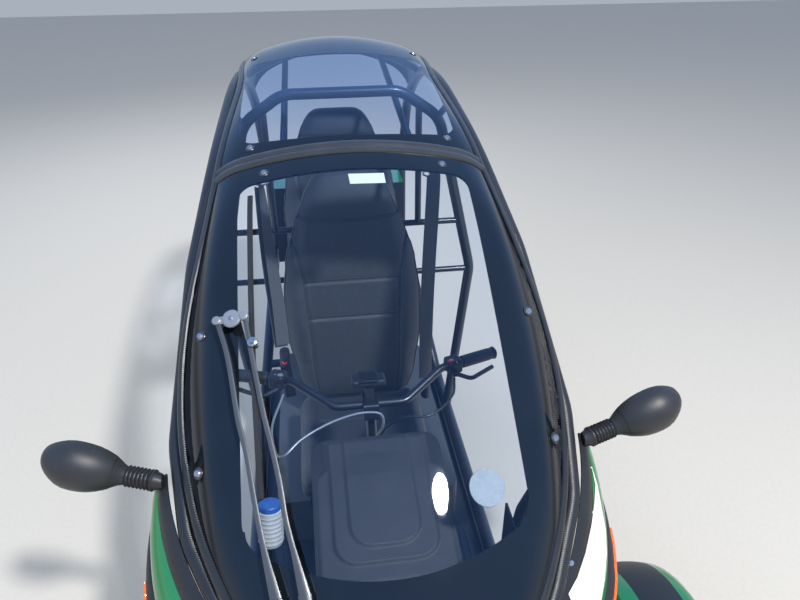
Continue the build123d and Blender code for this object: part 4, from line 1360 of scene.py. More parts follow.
@dataclass
class FrameFinishes:
    """Finishes of the rigid pieces that the frame brings."""

    # finish, then the nodes that take it
    table: tuple = (
        (TREAD, ("tyre_front_left", "tyre_front_right", "tyre_rear")),
        (RIM_COAT, ("rim_front_left", "rim_front_right", "rim_rear")),
        (CAST, ("knuckle_left", "knuckle_right", "drive_unit", "rack_housing", "column_bearing")),
        (
            TUBE_COAT,
            (
                "wishbones", "coilovers", "front_subframe", "handlebar", "side_frame_left",
                "side_frame_right", "roll_hoop", "roof_bows", "rear_cross_tubes", "seat_bases", "swingarm",
                "rear_shock",
            ),
        ),
        (STEEL, ("halfshafts", "rack_and_tie_rods")),
        (TRIM, ("roof_rail_left", "roof_rail_right", "cowl_trim", "shoulder_trims")),
        (
            PLASTIC,
            (
                "bar_controls", "display", "front_mask", "marker_pods", "floor_tub", "console", "rear_fender",
                "plate_holder", "console_lid", "mirrors",
            ),
        ),
        (BATTERY, ("battery_box",)),
        (GREEN, ("nose_panel", "shoulder_panels", "trunk_lid")),
        (TRUNK_PAINT, ("trunk",)),
        (FENDER_PAINT, ("fender_left", "fender_right")),
        (LAMP_CLEAR, ("headlamps",)),
        (LAMP_RED, ("tail_lamps",)),
        (WINDSHIELD_GLASS, ("windshield",)),
        (ROOF_GLASS, ("roof_panel",)),
        (LIGHTENED_SEAT_BACK_COVER, ("seat_back_driver", "seat_back_passenger")),
        (CUSHION_COVER, ("seat_cushion_driver", "seat_cushion_passenger")),
    )

    def build(self) -> None:
        """Give each node its material."""
        for finish, nodes in self.table:
            for node in nodes:
                coat(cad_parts[node], finish)
                LOG.info("%s takes %s", node, finish.name)


@dataclass
class Padding:
    """Foam and cover work that every seat piece shares."""

    voxel: float = 0.0105
    pressure: float = 4.0
    frames: int = 20

    def swell(self, made: Piece, cap: float) -> None:
        """Remesh a closed form evenly and let its cover stretch under pressure.

        Args:
            made: the form.
            cap: the farthest that a point may move, in metres.
        """
        remesh = made.modifiers.new("even", "REMESH")
        remesh.mode = "VOXEL"
        remesh.voxel_size = self.voxel
        bake(made)
        self._stretch(made, cap)
        smooth = made.modifiers.new("fine", "SUBSURF")
        smooth.levels = smooth.render_levels = 1
        bake(made)
        for face in made.data.polygons:
            face.use_smooth = True

    def _stretch(self, made: Piece, cap: float) -> None:
        """Run the cover as cloth with air in it and keep its last shape, with each move capped.

        Args:
            made: the cover.
            cap: the farthest that a point may move.
        """
        scene = bpy.context.scene
        rest = [v.co.copy() for v in made.data.vertices]
        cloth = made.modifiers.new("cover", "CLOTH")
        cloth.settings.use_pressure = True
        cloth.settings.uniform_pressure_force = self.pressure
        cloth.settings.effector_weights.gravity = 0
        cloth.settings.quality = 4
        cloth.point_cache.frame_end = self.frames
        for step in range(1, self.frames + 1):
            scene.frame_set(step)
        shape = made.evaluated_get(bpy.context.evaluated_depsgraph_get()).data
        moved = [v.co.copy() for v in shape.vertices]
        made.modifiers.remove(cloth)
        scene.frame_set(1)
        for vertex, start, end in zip(made.data.vertices, rest, moved):
            move = end - start
            if not math.isfinite(move.length):
                move = Vector()
            if move.length > cap:
                move *= cap / move.length
            vertex.co = start + move

    @staticmethod
    def groove(made: Piece, depth_at: Callable[[Vector], float]) -> None:
        """Press seams into a cover.

        Args:
            made: the cover.
            depth_at: how deep the cover is pulled in at a place.
        """
        normals = [v.normal.copy() for v in made.data.vertices]
        for vertex, normal in zip(made.data.vertices, normals):
            vertex.co -= normal * depth_at(vertex.co)
        made.data.update()


def rounding(distance: float, radius: float) -> float:
    """Share of the full size at a distance from a rounded end."""
    return math.sqrt(max(0.0, 1 - (1 - min(1.0, distance / radius)) ** 2))


def bell(distance: float, width: float) -> float:
    """Bell curve of a distance, 1 in the middle."""
    return math.exp(-((distance / width) ** 2))


def table_value(rows: Pairs, at: float) -> float:
    """Value of a table at a place, eased between its rows.

    Args:
        rows: place and value, in order.
        at: the place.

    Returns:
        The eased value.
    """
    if at <= rows[0][0]:
        return rows[0][1]
    for (a, low), (b, high) in zip(rows, rows[1:]):
        if at <= b:
            t = (at - a) / (b - a)
            return low + (high - low) * t * t * (3 - 2 * t)
    return rows[-1][1]


def stitch_tree() -> NodeTree:
    """Short thread stitches along the base's edges.

    Returns:
        The tree, with Pitch, Length and Thickness as inputs.
    """
    t = NodeTree("stitches")
    pitch = t.value("Pitch", "NodeSocketFloat", 0.006)
    length = t.value("Length", "NodeSocketFloat", 0.004)
    thick = t.value("Thickness", "NodeSocketFloat", 0.0006)
    curve = t.node("GeometryNodeMeshToCurve", {}, {"Mesh": t.start.outputs[0]})
    values = {"Curve": curve.outputs[0], "Length": pitch}
    points = t.node("GeometryNodeCurveToPoints", {"mode": "LENGTH"}, values).outputs
    thread = t.node("GeometryNodeMeshCylinder", {}, {"Vertices": 6, "Radius": thick, "Depth": length})
    values = {"Points": points["Points"], "Instance": thread.outputs[0], "Rotation": points["Rotation"]}
    t.finish(t.node("GeometryNodeInstanceOnPoints", {}, values).outputs[0], THREAD)
    return t


def line_object(name: str, paths: Sequence[Sequence[Point]], finish: Finish) -> Piece:
    """Edges along several paths, as the base of a Geometry Nodes tree.

    Args:
        name: its name.
        paths: the places along each.
        finish: what it is made of.

    Returns:
        The object.
    """
    vertices, edges = [], []
    for path in paths:
        start = len(vertices)
        vertices += [tuple(p) for p in path]
        edges += [(start + i, start + i + 1) for i in range(len(path) - 1)]
    return mesh_object(name, vertices, [], finish, edges)


@dataclass
class SeatBack(Padding):
    """Bucket seat back with bolsters and a built-in headrest."""

    row: str = "driver"
    foot_depth: float = 0.070
    top_depth: float = 0.044
    inset: float = 0.006
    lean: float = math.radians(13)
    end_radius: float = 0.035
    piping_inset: float = 0.022
    piping_radius: float = 0.0028
    # share of the height, half width, depth at the bolsters and how far the middle lies behind them
    sections: tuple = (
        (0.0, 0.196, 0.070, 0.014), (0.14, 0.232, 0.088, 0.024), (0.30, 0.256, 0.095, 0.028),
        (0.46, 0.260, 0.095, 0.028), (0.62, 0.244, 0.090, 0.022), (0.76, 0.208, 0.084, 0.010),
        (0.88, 0.166, 0.082, 0.003), (0.97, 0.128, 0.066, 0.001), (1.0, 0.096, 0.044, 0.001),
    )
    # height up the back of the sewn lines across the middle
    channels: tuple = (0.325, 0.457)
    patch: float = 0.690
    patch_bow: float = 0.020
    seam_half: tuple = ((0.0, 0.140), (0.20, 0.152), (0.45, 0.163), (0.55, 0.180), (0.64, 0.212))
    # depth and width of the seams beside the middle, across it and behind the edge
    side_seam: Pair = (0.0095, 0.0065)
    cross_seam: Pair = (0.006, 0.005)
    back_seam: Pair = (0.003, 0.006)
    deepest: float = 0.011

    def __post_init__(self) -> None:
        """Read the place from the frame."""
        self.node = f"seat_back_{self.row}"
        low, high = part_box(self.node)
        self.origin = Vector((0, low.y + self.foot_depth * math.cos(self.lean), low.z))
        self.height = (high.z - low.z - self.top_depth * math.sin(self.lean)) / math.cos(self.lean)

    def place(self, x: float, up: float, out: float) -> Vector:
        """Place from across, up the back and out of it."""
        turn, rise = math.cos(self.lean), math.sin(self.lean)
        return self.origin + Vector((x, up * rise - out * turn, up * turn + out * rise))

    def local(self, point: Vector) -> tuple[float, float, float]:
        """Across, up the back and out of it, of a place."""
        gap = point - self.origin
        turn, rise = math.cos(self.lean), math.sin(self.lean)
        return gap.x, gap.y * rise + gap.z * turn, gap.z * rise - gap.y * turn

    def _column(self, column: int, up: float) -> float:
        """One value of the section table at a height, with a soft run between its rows.

        Args:
            column: which value of the table.
            up: height up the back.

        Returns:
            The value.
        """
        share = min(1.0, max(0.0, up / self.height))
        rows = [(row[0], row[column]) for row in self.sections]
        near = [table_value(rows, min(1.0, max(0.0, share + step))) for step in (-0.03, 0.0, 0.03)]
        return (near[0] + 2 * near[1] + near[2]) / 4

    def _section(self, up: float) -> list[Vector]:
        """Closed section across the back at one height, a little inside the foam's space.

        Args:
            up: height up the back.

        Returns:
            The section's points, front and then back.
        """
        half = self._column(1, up) - self.inset
        depth = self._column(2, up) - self.inset
        dip = self._column(3, up)
        round_off = rounding(min(up, self.height - up), self.end_radius)
        half *= (0.72 + 0.28 * round_off) if up > self.height / 2 else (0.9 + 0.1 * round_off)
        front, back = [], []
        count = 30
        for index in range(count + 1):
            share = -1 + 2 * index / count
            edge = math.sqrt(max(0.0, 1 - abs(share) ** 6))
            reach = depth - dip * (1 - bell(abs(share) - 0.80, 0.17)) - 0.003 * share * share
            reach *= (0.25 + 0.75 * edge) * (0.5 + 0.5 * round_off)
            front.append(self.place(share * half, up, reach))
            back.append(self.place(share * half, up, 0.008 + 0.010 * (1 - edge) + 0.012 * (1 - round_off)))
        return front + list(reversed(back[1:-1]))

    def _groove_at(self, point: Vector) -> float:
        """Depth of the seams at a place on the cover.

        Args:
            point: the place, in the frame.

        Returns:
            How deep the cover is pulled in.
        """
        x, up, out = self.local(point)
        if out < 0.03:
            return self.back_seam[0] * bell(out - 0.018, self.back_seam[1])
        seam = table_value(self.seam_half, up)
        depth = 0.0
        if 0.02 < up < 0.64:
            depth += self.side_seam[0] * bell(abs(x) - seam, self.side_seam[1])
        lines = [self.patch - self.patch_bow * (1 - (x / 0.19) ** 2)]
        if abs(x) < seam:
            lines += self.channels
        depth += sum(self.cross_seam[0] * bell(up - line, self.cross_seam[1]) for line in lines)
        return min(depth, self.deepest)

    def _touch(self, skin: BVHTree, x: float, up: float, gap: float = 0.0) -> list[Vector]:
        """Where the cover is met from in front, a gap out from it, or nothing.

        Args:
            skin: the cover.
            x: place across.
            up: height up the back.
            gap: distance out from the cover.

        Returns:
            The one place, or none.
        """
        inward = self.place(0, 0, 0) - self.place(0, 0, 1)
        found = skin.ray_cast(self.place(x, up, 0.2), inward)[0]
        return [] if found is None else [found - inward * gap]

    def _seat_lines(self, skin: BVHTree) -> list[list[Vector]]:
        """Thread lines beside the seams, laid on the cover.

        Args:
            skin: the cover.

        Returns:
            The places along each line.
        """
        lines = []
        for side in (-1, 1):
            path = []
            for step in range(60):
                up = 0.04 + step * 0.57 / 59
                path.append((side * (table_value(self.seam_half, up) + 0.008), up))
            lines.append(path)
        for line in self.channels:
            half = table_value(self.seam_half, line) - 0.012
            lines.append([(-half + 2 * half * step / 24, line + 0.008) for step in range(25)])
        return [[p for x, up in path for p in self._touch(skin, x, up, 0.0002)] for path in lines]

    def build(self) -> None:
        """Make the cover, its seams, piping and stitches."""
        steps = 46
        rows = [self._section(0.004 + (self.height - 0.010) * index / steps) for index in range(steps + 1)]
        cover = loft(f"seat_cover_{self.row}", rows, LIGHTENED_SEAT_BACK_COVER)
        self.swell(cover, 0.006)
        self.groove(cover, self._groove_at)
        coat(cover, LIGHTENED_SEAT_BACK_COVER)
        faces = [p.vertices[:] for p in cover.data.polygons]
        skin = BVHTree.FromPolygons([v.co for v in cover.data.vertices], faces)
        lines = self._seat_lines(skin)
        place_piece(cover)
        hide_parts(self.node)
        thread = line_object(f"seat_back_stitches_{self.row}", lines, THREAD)
        stitch_tree().apply(thread, {"Pitch": 0.007, "Length": 0.0045, "Thickness": 0.0005})
        place_piece(thread)
        self._piping(skin)

    def _piping(self, skin: BVHTree) -> None:
        """Make the round piping along the edge of the front panel.

        Args:
            skin: the cover.
        """
        path = []
        steps = 90
        for side, order in ((-1, range(steps)), (1, reversed(range(steps)))):
            for step in order:
                up = 0.03 + (self.height - 0.055) * step / (steps - 1)
                half = self._column(1, up) - self.piping_inset
                half *= 0.72 + 0.28 * rounding(self.height - up, self.end_radius)
                path += self._touch(skin, side * half, up)
        made = sweep(f"seat_piping_{self.row}", relaxed(path, 6), ring(self.piping_radius, 8), PIPING)
        place_piece(made)


@dataclass
class SeatCushion(Padding):
    """Seat cushion with side bolsters and sewn channels."""

    row: str = "driver"
    seam_half: float = 0.150

    def build(self) -> None:
        """Make the cover and its seams."""
        node = f"seat_cushion_{self.row}"
        low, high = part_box(node)
        inset = 0.007
        half, thick = high.x - inset, high.z - low.z - inset
        length = high.y - low.y
        steps, count = 36, 30
        rows = []
        for index in range(steps + 1):
            share = index / steps
            y = low.y + inset + (length - 2 * inset) * share
            end = min(share, 1 - share) * length
            soft = 0.07 if share < 0.5 else 0.035
            drop = 1 - rounding(end, soft)
            loop = []
            for side in range(count + 1):
                across = -1 + 2 * side / count
                edge = math.sqrt(max(0.0, 1 - abs(across) ** 8))
                ridge = 0.024 * bell(abs(across) - 0.82, 0.15)
                top = (thick - 0.024 + ridge) * (0.35 + 0.65 * edge) - drop * thick * 0.55
                x, z = across * half * (1 - 0.05 * drop), low.z + inset / 2 + max(top, 0.012)
                loop.append(Vector((x, y, z)))
            under = [Vector((p.x, y, low.z + 0.001 + 0.012 * drop)) for p in reversed(loop[1:-1])]
            rows.append(loop + under)
        cover = loft(f"cushion_cover_{self.row}", rows, CUSHION_COVER)
        self.swell(cover, 0.005)
        lines = [low.y + length * share for share in (0.30, 0.62)]

        def depth_at(point: Vector) -> float:
            """Depth of the seams at a place."""
            if point.z < low.z + thick * 0.55:
                return 0.003 * bell(point.z - low.z - thick * 0.45, 0.005)
            depth = 0.006 * bell(abs(point.x) - self.seam_half, 0.0055)
            if abs(point.x) < self.seam_half:
                depth += sum(0.005 * bell(point.y - line, 0.0055) for line in lines)
            return min(depth, 0.008)

        self.groove(cover, depth_at)
        for vertex in cover.data.vertices:
            vertex.co.z = max(vertex.co.z, low.z)
        coat(cover, CUSHION_COVER)
        place_piece(cover)
        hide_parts(node)


@dataclass
class GlassTrim:
    """Rubber mouldings round the glass, its screws and the blank label."""

    joint_y: float = -0.1058
    joint_half: float = 0.028
    edge_set_in: float = 0.013
    strip_profile: tuple = (
        (-0.012, 0.0), (-0.011, 0.004), (-0.004, 0.0075), (0.004, 0.0075), (0.011, 0.004), (0.012, 0.0),
        (0.008, -0.003), (-0.008, -0.003),
    )
    screw_size: Pair = (0.0085, 0.004)
    washer: tuple = ((-0.002, 0.0125), (0.0005, 0.0135), (0.002, 0.012), (0.0022, 0.006))
    # pixels of the glass screws in the photograph
    windshield_screws: tuple = ((264, 173), (442, 164))
    roof_screws: tuple = ((250, 148), (447, 138))
    label_pixels: tuple = ((348, 172), (384, 171), (386, 181), (350, 182))

    def build(self) -> None:
        """Make every moulding and fastener of the glass."""
        self.windshield = Skin("windshield")
        self.roof = Skin("roof_panel")
        self.glass = Skin("windshield", "roof_panel")
        self._joint_strip()
        self._edge_strips()
        self._screws()
        self._label()

    def _joint_strip(self) -> None:
        """Make the ridged moulding across the joint of windshield and roof."""
        ups, path = [], []
        for step in range(41):
            x = -0.372 + 0.744 * step / 40
            place, normal = self.glass.above(x, self.joint_y - 0.004)
            path.append(place)
            ups.append(normal)
        profile = []
        for step in range(25):
            share = -1 + 2 * step / 24
            lift = 0.0035 + 0.0045 * abs(math.sin(share * math.pi)) * (1 - 0.15 * abs(share))
            profile.append((share * self.joint_half, lift if abs(share) < 0.999 else 0.0005))
        profile += [(self.joint_half, -0.001), (-self.joint_half, -0.001)]
        place_piece(sweep("joint_moulding", path, profile, MOULDING, ups))

    def _edge(self, y: float) -> float:
        """Half width of the glass at one station.

        Args:
            y: the station.

        Returns:
            The half width.
        """
        low, high = 0.2, 0.55
        for _ in range(18):
            middle = (low + high) / 2
            if self.glass.cast((middle, y, 3.0), (0, 0, -1)):
                low = middle
            else:
                high = middle
        return low

    def _edge_strips(self) -> None:
        """Make the knurled strips beside the rails."""
        strips = []
        for side in (-1, 1):
            path, ups = [], []
            for step in range(110):
                y = -1.135 + 2.08 * step / 109
                x = self._edge(y) - self.edge_set_in
                place, normal = self.glass.above(x, y)
                path.append(Vector((side * place.x, place.y, place.z)))
                ups.append(Vector((side * normal.x, normal.y, normal.z)))
            path = relaxed(path, 4)
            strips.append(sweep(f"edge_strip_{side}", path, self.strip_profile, KNURLED, ups))
        place_parts("glass_edge_strips", strips)

    def _screws(self) -> None:
        """Make the button-head screws that hold the glass, with their washers."""
        seats = [self.windshield.seen(*p) for p in self.windshield_screws]
        seats += [self.roof.seen(*p) for p in self.roof_screws]
        for y, x in ((0.62, 0.285), (0.90, 0.27), (-0.55, 0.395), (-0.80, 0.40)):
            skin = self.roof if y > 0 else self.windshield
            seats += [skin.above(side * x, y) for side in (-1, 1)]
        screws("glass_screws", seats, self.screw_size, 0.002)
        washers = [lathe(f"washer_{i}", *seat, self.washer, MOULDING, 24) for i, seat in enumerate(seats)]
        place_parts("glass_washers", washers)

    def _label(self) -> None:
        """Make the blank white label inside the windshield's top."""
        corners = [self.windshield.seen(*p) for p in self.label_pixels]
        rows = [[place - normal * depth for place, normal in corners] for depth in (0.0066, 0.0062)]
        place_piece(loft("blank_label", rows, WHITE_LABEL))


@dataclass
class Wiper:
    """Pantograph wiper: two arms from the cowl, their adapter and the long blade on the glass."""

    # pixels along each arm from the adapter to the root, in the photograph
    outer_arm: tuple = (
        (222, 326), (232, 362), (242, 421), (250.6, 457), (258.3, 502), (268, 550), (280, 599),
    )
    inner_arm: tuple = (
        (248, 321), (256.4, 364.6), (266.3, 414.4), (274.8, 448.5), (282.5, 483), (288.9, 521), (299, 559.5),
        (307.5, 594),
    )
    blade_pixels: tuple = ((252, 200), (252, 260), (254, 345), (258, 420), (263, 500))
    clip_pixel: Pair = (257, 347)
    disc_pixel: Pair = (236, 323.5)
    flat: tuple = (
        (-0.0065, -0.002), (0.0065, -0.002), (0.0065, 0.0015), (0.0035, 0.003), (-0.0035, 0.003),
        (-0.0065, 0.0015),
    )
    plate: tuple = (
        (-0.009, -0.003), (0.009, -0.003), (0.009, 0.001), (0.006, 0.003), (-0.006, 0.003), (-0.009, 0.001),
    )
    lip: tuple = (
        (-0.0016, -0.0125), (0.0016, -0.0125), (0.003, -0.004), (0.003, 0.0), (-0.003, 0.0), (-0.003, -0.004),
    )
    clip: tuple = (
        (0.0, 0.008), (0.016, 0.008), (0.018, 0.0115), (0.027, 0.0115), (0.030, 0.007), (0.034, 0.006),
    )
    arm_lift: float = 0.026
    blade_lift: float = 0.013

    def _lift(self, pixels: tuple, lift: float) -> tuple[list[Vector], list[Vector]]:
        """Places over the glass and its normals, along a row of pixels.

        Args:
            pixels: the pixels.
            lift: distance from the glass.

        Returns:
            The places and the normals.
        """
        seats = [self.glass.seen(*p) for p in pixels]
        path = smooth_path([place for place, _ in seats], 8)
        ups = smooth_path([normal for _, normal in seats], 8)
        laid = []
        for place, up in zip(path, ups):
            hit = self.glass.cast(place + up * 0.1, -up)
            laid.append((hit[0] if hit else place) + up * lift)
        return laid, ups

    def build(self) -> None:
        """Make the arms, adapter, blade and spindles."""
        self.glass = Skin("windshield", "cowl_trim")
        parts, roots, ends = [], [], []
        for name, pixels in (("outer", self.outer_arm), ("inner", self.inner_arm)):
            path, ups = self._lift(pixels, self.arm_lift)
            count = len(path)
            size = [0.85 + 1.0 * max(0.0, (i / count - 0.80) / 0.20) for i in range(count)]
            parts.append(sweep(f"arm_{name}", path, self.flat, ARM_COAT, ups, size))
            ends.append(path[0])
            root = path[-1] + (path[-1] - path[-2]).normalized() * 0.06
            place, normal = self.glass.above(root.x, max(root.y, -1.17))
            roots.append((place, normal, path[-1]))
        for index, (place, normal, near) in enumerate(roots):
            spindle = [(-0.004, 0.017), (0.012, 0.017), (0.014, 0.014), (0.030, 0.012), (0.033, 0.009)]
            parts.append(lathe(f"spindle_{index}", place, normal, spindle, SILVER_COAT, 24))
            reach = [near, (near + place + normal * 0.022) / 2 + normal * 0.004, place + normal * 0.022]
            wide = [(a * 2.0, b * 2.2) for a, b in self.flat]
            parts.append(sweep(f"head_{index}", reach, wide, ARM_COAT, [normal] * 3))
        place, normal = self.glass.seen(*self.disc_pixel)
        middle = place + normal * (self.arm_lift + 0.004)
        row = [ends[0] + normal * 0.004, middle, ends[1] + normal * 0.004]
        parts.append(sweep("adapter", row, self.plate, SILVER_COAT, [normal] * 3))
        disc = [(-0.003, 0.0), (-0.003, 0.0215), (0.002, 0.0215), (0.0045, 0.019), (0.0045, 0.0)]
        parts.append(lathe("disc", middle, normal, disc, SILVER_COAT, 36))
        bolt = [(0.0, 0.0048), (0.0035, 0.0048), (0.0045, 0.0036), (0.0045, 0.0)]
        parts.append(lathe("disc_bolt", middle + normal * 0.004, normal, bolt, STEEL, 6))
        for index, place in enumerate(ends):
            cap = [(-0.004, 0.0), (-0.004, 0.0105), (0.006, 0.0105), (0.008, 0.008), (0.0085, 0.0)]
            parts.append(lathe(f"cap_{index}", place + normal * 0.003, normal, cap, SILVER_COAT, 24))
        place_parts("wiper_arms", parts)
        self._blade()

    def _blade(self) -> None:
        """Make the rubber blade with its spine and the clip at its middle."""
        path, ups = self._lift(self.blade_pixels, self.blade_lift)
        spine = [(-0.007, 0.0), (0.007, 0.0), (0.006, 0.004), (-0.006, 0.004)]
        parts = [sweep("spine", path, spine, PLASTIC, ups), sweep("lip", path, self.lip, PLASTIC, ups)]
        place, normal = self.glass.seen(*self.clip_pixel)
        parts.append(lathe("clip", place + normal * 0.01, normal, self.clip, STEEL, 12))
        place_parts("wiper_blade", parts)


@dataclass
class ConsoleTop:
    """Grained lid under the handlebar, with two nested U-shaped ribs."""

    lift: float = 0.0006
    # half width, how far its bottom lies from the front edge, rib height
    ribs: tuple = ((0.118, 0.052, 0.0055), (0.080, 0.088, 0.0055))
    steps: tuple[int, int] = (110, 130)

    def _height(self, x: float, along: float, half: float, length: float) -> float:
        """Relief of the lid at a place.

        Args:
            x: place across.
            along: place from the front edge.
            half: the lid's half width there.
            length: the lid's length.

        Returns:
            The relief's height.
        """
        height = 0.0
        for reach, bottom, rise in self.ribs:
            corner = 0.05
            side = abs(x) - (reach - corner)
            end = bottom + corner - along
            outside = math.hypot(max(side, 0.0), max(end, 0.0)) + min(max(side, end), 0.0) - corner
            fade = min(1.0, max(0.0, (length - 0.05 - along) / 0.06))
            height += rise * (1 / (1 + math.exp(outside / 0.0022))) * (0.4 + 0.6 * fade)
            height += 0.0022 * bell(outside, 0.004)
        rim = min(half - abs(x), along, length - along)
        return height - 0.006 * bell(max(rim, 0.0), 0.007)

    def build(self) -> None:
        """Make the lid's pressed top over its solid."""
        low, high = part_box("console_lid")
        lid = Skin("console_lid")
        half = high.x - 0.003
        near, _ = lid.above(0, low.y + 0.012)
        far, _ = lid.above(0, high.y - 0.012)
        way = (far - near).normalized()
        up = Vector((0, -way.z, way.y))
        length = (far - near).length
        columns, rows = self.steps
        vertices, faces = [], []
        for row in range(rows + 1):
            along = length * row / rows
            taper = 1.0 - 0.18 * table_value(((0.0, 0.0), (length * 0.70, 0.0), (length * 0.80, 1.0)), along)
            for column in range(columns + 1):
                x = (-1 + 2 * column / columns) * half * taper
                lift = self.lift + 0.007 + self._height(x, along, half * taper, length)
                vertices.append(near + way * along + Vector((x, 0, 0)) + up * lift)
        for row in range(rows):
            for column in range(columns):
                a = row * (columns + 1) + column
                faces.append((a, a + 1, a + columns + 2, a + columns + 1))
        border = list(range(columns + 1))
        border += [row * (columns + 1) + columns for row in range(1, rows + 1)]
        border += [rows * (columns + 1) + column for column in range(columns - 1, -1, -1)]
        border += [row * (columns + 1) for row in range(rows - 1, 0, -1)]
        start = len(vertices)
        vertices += [vertices[index] - up * 0.012 for index in border]
        for index in range(len(border)):
            after = (index + 1) % len(border)
            faces.append((border[index], start + index, start + after, border[after]))
        faces.append(range(start, len(vertices)))
        made = tidy_mesh(mesh_object("console_top", vertices, faces, CONSOLE_PLASTIC), 60)
        place_piece(made)


@dataclass
class Mirrors:
    """Round mirror housings on ribbed bellows, with their glass towards the driver."""

    stalk_from: Point = (0.5087, -0.754, 0.966)
    stalk_to: Point = (0.576, -0.736, 0.974)
    head_way: Point = (0.92, 0.12, 0.37)
    ribs: int = 7
    # distance along the housing and its radius
    shell: tuple = (
        (-0.010, 0.0165), (-0.002, 0.0195), (0.004, 0.0215), (0.012, 0.0245), (0.022, 0.0310),
        (0.036, 0.0405), (0.052, 0.0482), (0.070, 0.0544), (0.088, 0.0576), (0.106, 0.0588),
        (0.122, 0.0578), (0.138, 0.0536), (0.152, 0.0462), (0.164, 0.0378), (0.173, 0.0290),
        (0.179, 0.0205), (0.1825, 0.0120), (0.1835, 0.0040),
    )
    seam: tuple = ((-0.0012, 0.034), (-0.0008, 0.0372), (0.0008, 0.0380), (0.0012, 0.035))
    face: tuple = ((-0.002, 0.048), (0.0, 0.050), (0.001, 0.049))

    def build(self) -> None:
        """Make both mirrors."""
        start, end = Vector(self.stalk_from), Vector(self.stalk_to)
        way = (end - start).normalized()
        length = (end - start).length
        profile = [(-0.026, 0.0120), (-0.020, 0.0165), (-0.004, 0.0205), (0.0, 0.0245), (0.003, 0.0245)]
        for index in range(self.ribs):
            for share in (0.05, 0.30, 0.5, 0.70, 0.95):
                reach = 0.0242 - 0.0044 * abs(math.cos(share * math.pi)) ** 0.6
                profile.append((0.004 + (index + share) * (length - 0.009) / self.ribs, reach))
        profile.append((length - 0.003, 0.0195))
        bellows = lathe("bellows", start, way, profile, BELLOWS, 40)
        head_way = Vector(self.head_way).normalized()
        origin = end - head_way * 0.006
        shell = lathe("shell", origin, head_way, self.shell, SHELL_PLASTIC, 56)
        face_at = end + Vector((0, 0.022, 0))
        face_way = Vector((-0.05, 1.0, 0.05)).normalized()
        self._cut(shell, face_at, face_way)
        seam = lathe("seam", origin + head_way * 0.0305, head_way, self.seam, TRIM, 56)
        self._cut(seam, face_at - face_way * 0.001, face_way)
        middle = origin + head_way * 0.104
        middle -= face_way * (middle - face_at).dot(face_way)
        glass = lathe("glass", middle + face_way * 0.0004, face_way, self.face, MIRROR_FACE, 48)
        made = join_parts("mirror_left", [bellows, shell, seam, glass])
        self._cut(made, Vector((0.490, -0.754, 0.966)), Vector((-1, 0, 0)))
        both = tidy_mesh(join_parts("mirror_heads", [made, flipped("mirror_right", made)]))
        place_piece(both)
        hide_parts("mirrors")

    @staticmethod
    def _cut(made: Piece, place: Vector, way: Vector) -> None:
        """Cut away what lies beyond a plane and close the cut.

        Args:
            made: the piece.
            place: a place on the plane.
            way: the plane's normal, towards what goes.
        """
        edit = bmesh.new()
        edit.from_mesh(made.data)
        geometry = edit.verts[:] + edit.edges[:] + edit.faces[:]
        cut = bmesh.ops.bisect_plane(edit, geom=geometry, plane_co=place, plane_no=way, clear_outer=True)
        rim = [item for item in cut["geom_cut"] if isinstance(item, bmesh.types.BMEdge)]
        if rim:
            bmesh.ops.edgeloop_fill(edit, edges=rim)
        edit.to_mesh(made.data)
        edit.free()
        tidy_mesh(made)


def flipped(name: str, made: Piece) -> Piece:
    """Mirror image of a piece on the vehicle's other side.

    Args:
        name: the twin's name.
        made: the piece.

    Returns:
        The twin.
    """
    data = made.data.copy()
    data.transform(Matrix.Diagonal((-1, 1, 1, 1)))
    data.flip_normals()
    return add_object(name, data)


def surface_patch(name: str, skin: Skin, outline: Pairs, finish: Finish, step: float) -> Piece:
    """Thin patch laid on a surface inside an outline seen in the photograph.

    Args:
        name: the piece's name.
        skin: the surface.
        outline: its corners in pixels.
        finish: what it is made of.
        step: grid spacing in pixels.

    Returns:
        The piece.
    """
    gap, thick = 0.0010, 0.0010
    rim = []
    for (ax, ay), (bx, by) in zip(outline, list(outline[1:]) + [outline[0]]):
        count = max(1, round(math.hypot(bx - ax, by - ay) / step))
        rim += [Vector((ax + (bx - ax) * i / count, ay + (by - ay) * i / count)) for i in range(count)]
    points = list(rim)
    xs, ys = [p.x for p in rim], [p.y for p in rim]
    y = min(ys) + step / 2
    while y < max(ys):
        x = min(xs) + step / 2
        while x < max(xs):
            inside = False
            for a, b in zip(rim, rim[1:] + rim[:1]):
                if (a.y > y) != (b.y > y) and x < (b.x - a.x) * (y - a.y) / (b.y - a.y) + a.x:
                    inside = not inside
            if inside and min((Vector((x, y)) - p).length for p in rim) > step * 0.5:
                points.append(Vector((x, y)))
            x += step
        y += step
    edges = [(i, (i + 1) % len(rim)) for i in range(len(rim))]
    flat, _, faces, _, _, _ = delaunay_2d_cdt(points, edges, [list(range(len(rim)))], 1, 1e-5)
    top, bottom = [], []
    for p in flat:
        place, normal = skin.seen(p.x, p.y)
        top.append(place + normal * (gap + thick))
        bottom.append(place + normal * gap)
    count = len(flat)
    solid = [tuple(f) for f in faces] + [tuple(count + i for i in reversed(f)) for f in faces]
    used: dict[tuple[int, int], int] = {}
    for f in faces:
        for a, b in zip(f, list(f[1:]) + [f[0]]):
            used[(a, b)] = used.get((a, b), 0) + 1
    for a, b in used:
        if (b, a) not in used:
            solid.append((b, a, count + a, count + b))
    return tidy_mesh(mesh_object(name, top + bottom, solid, finish))


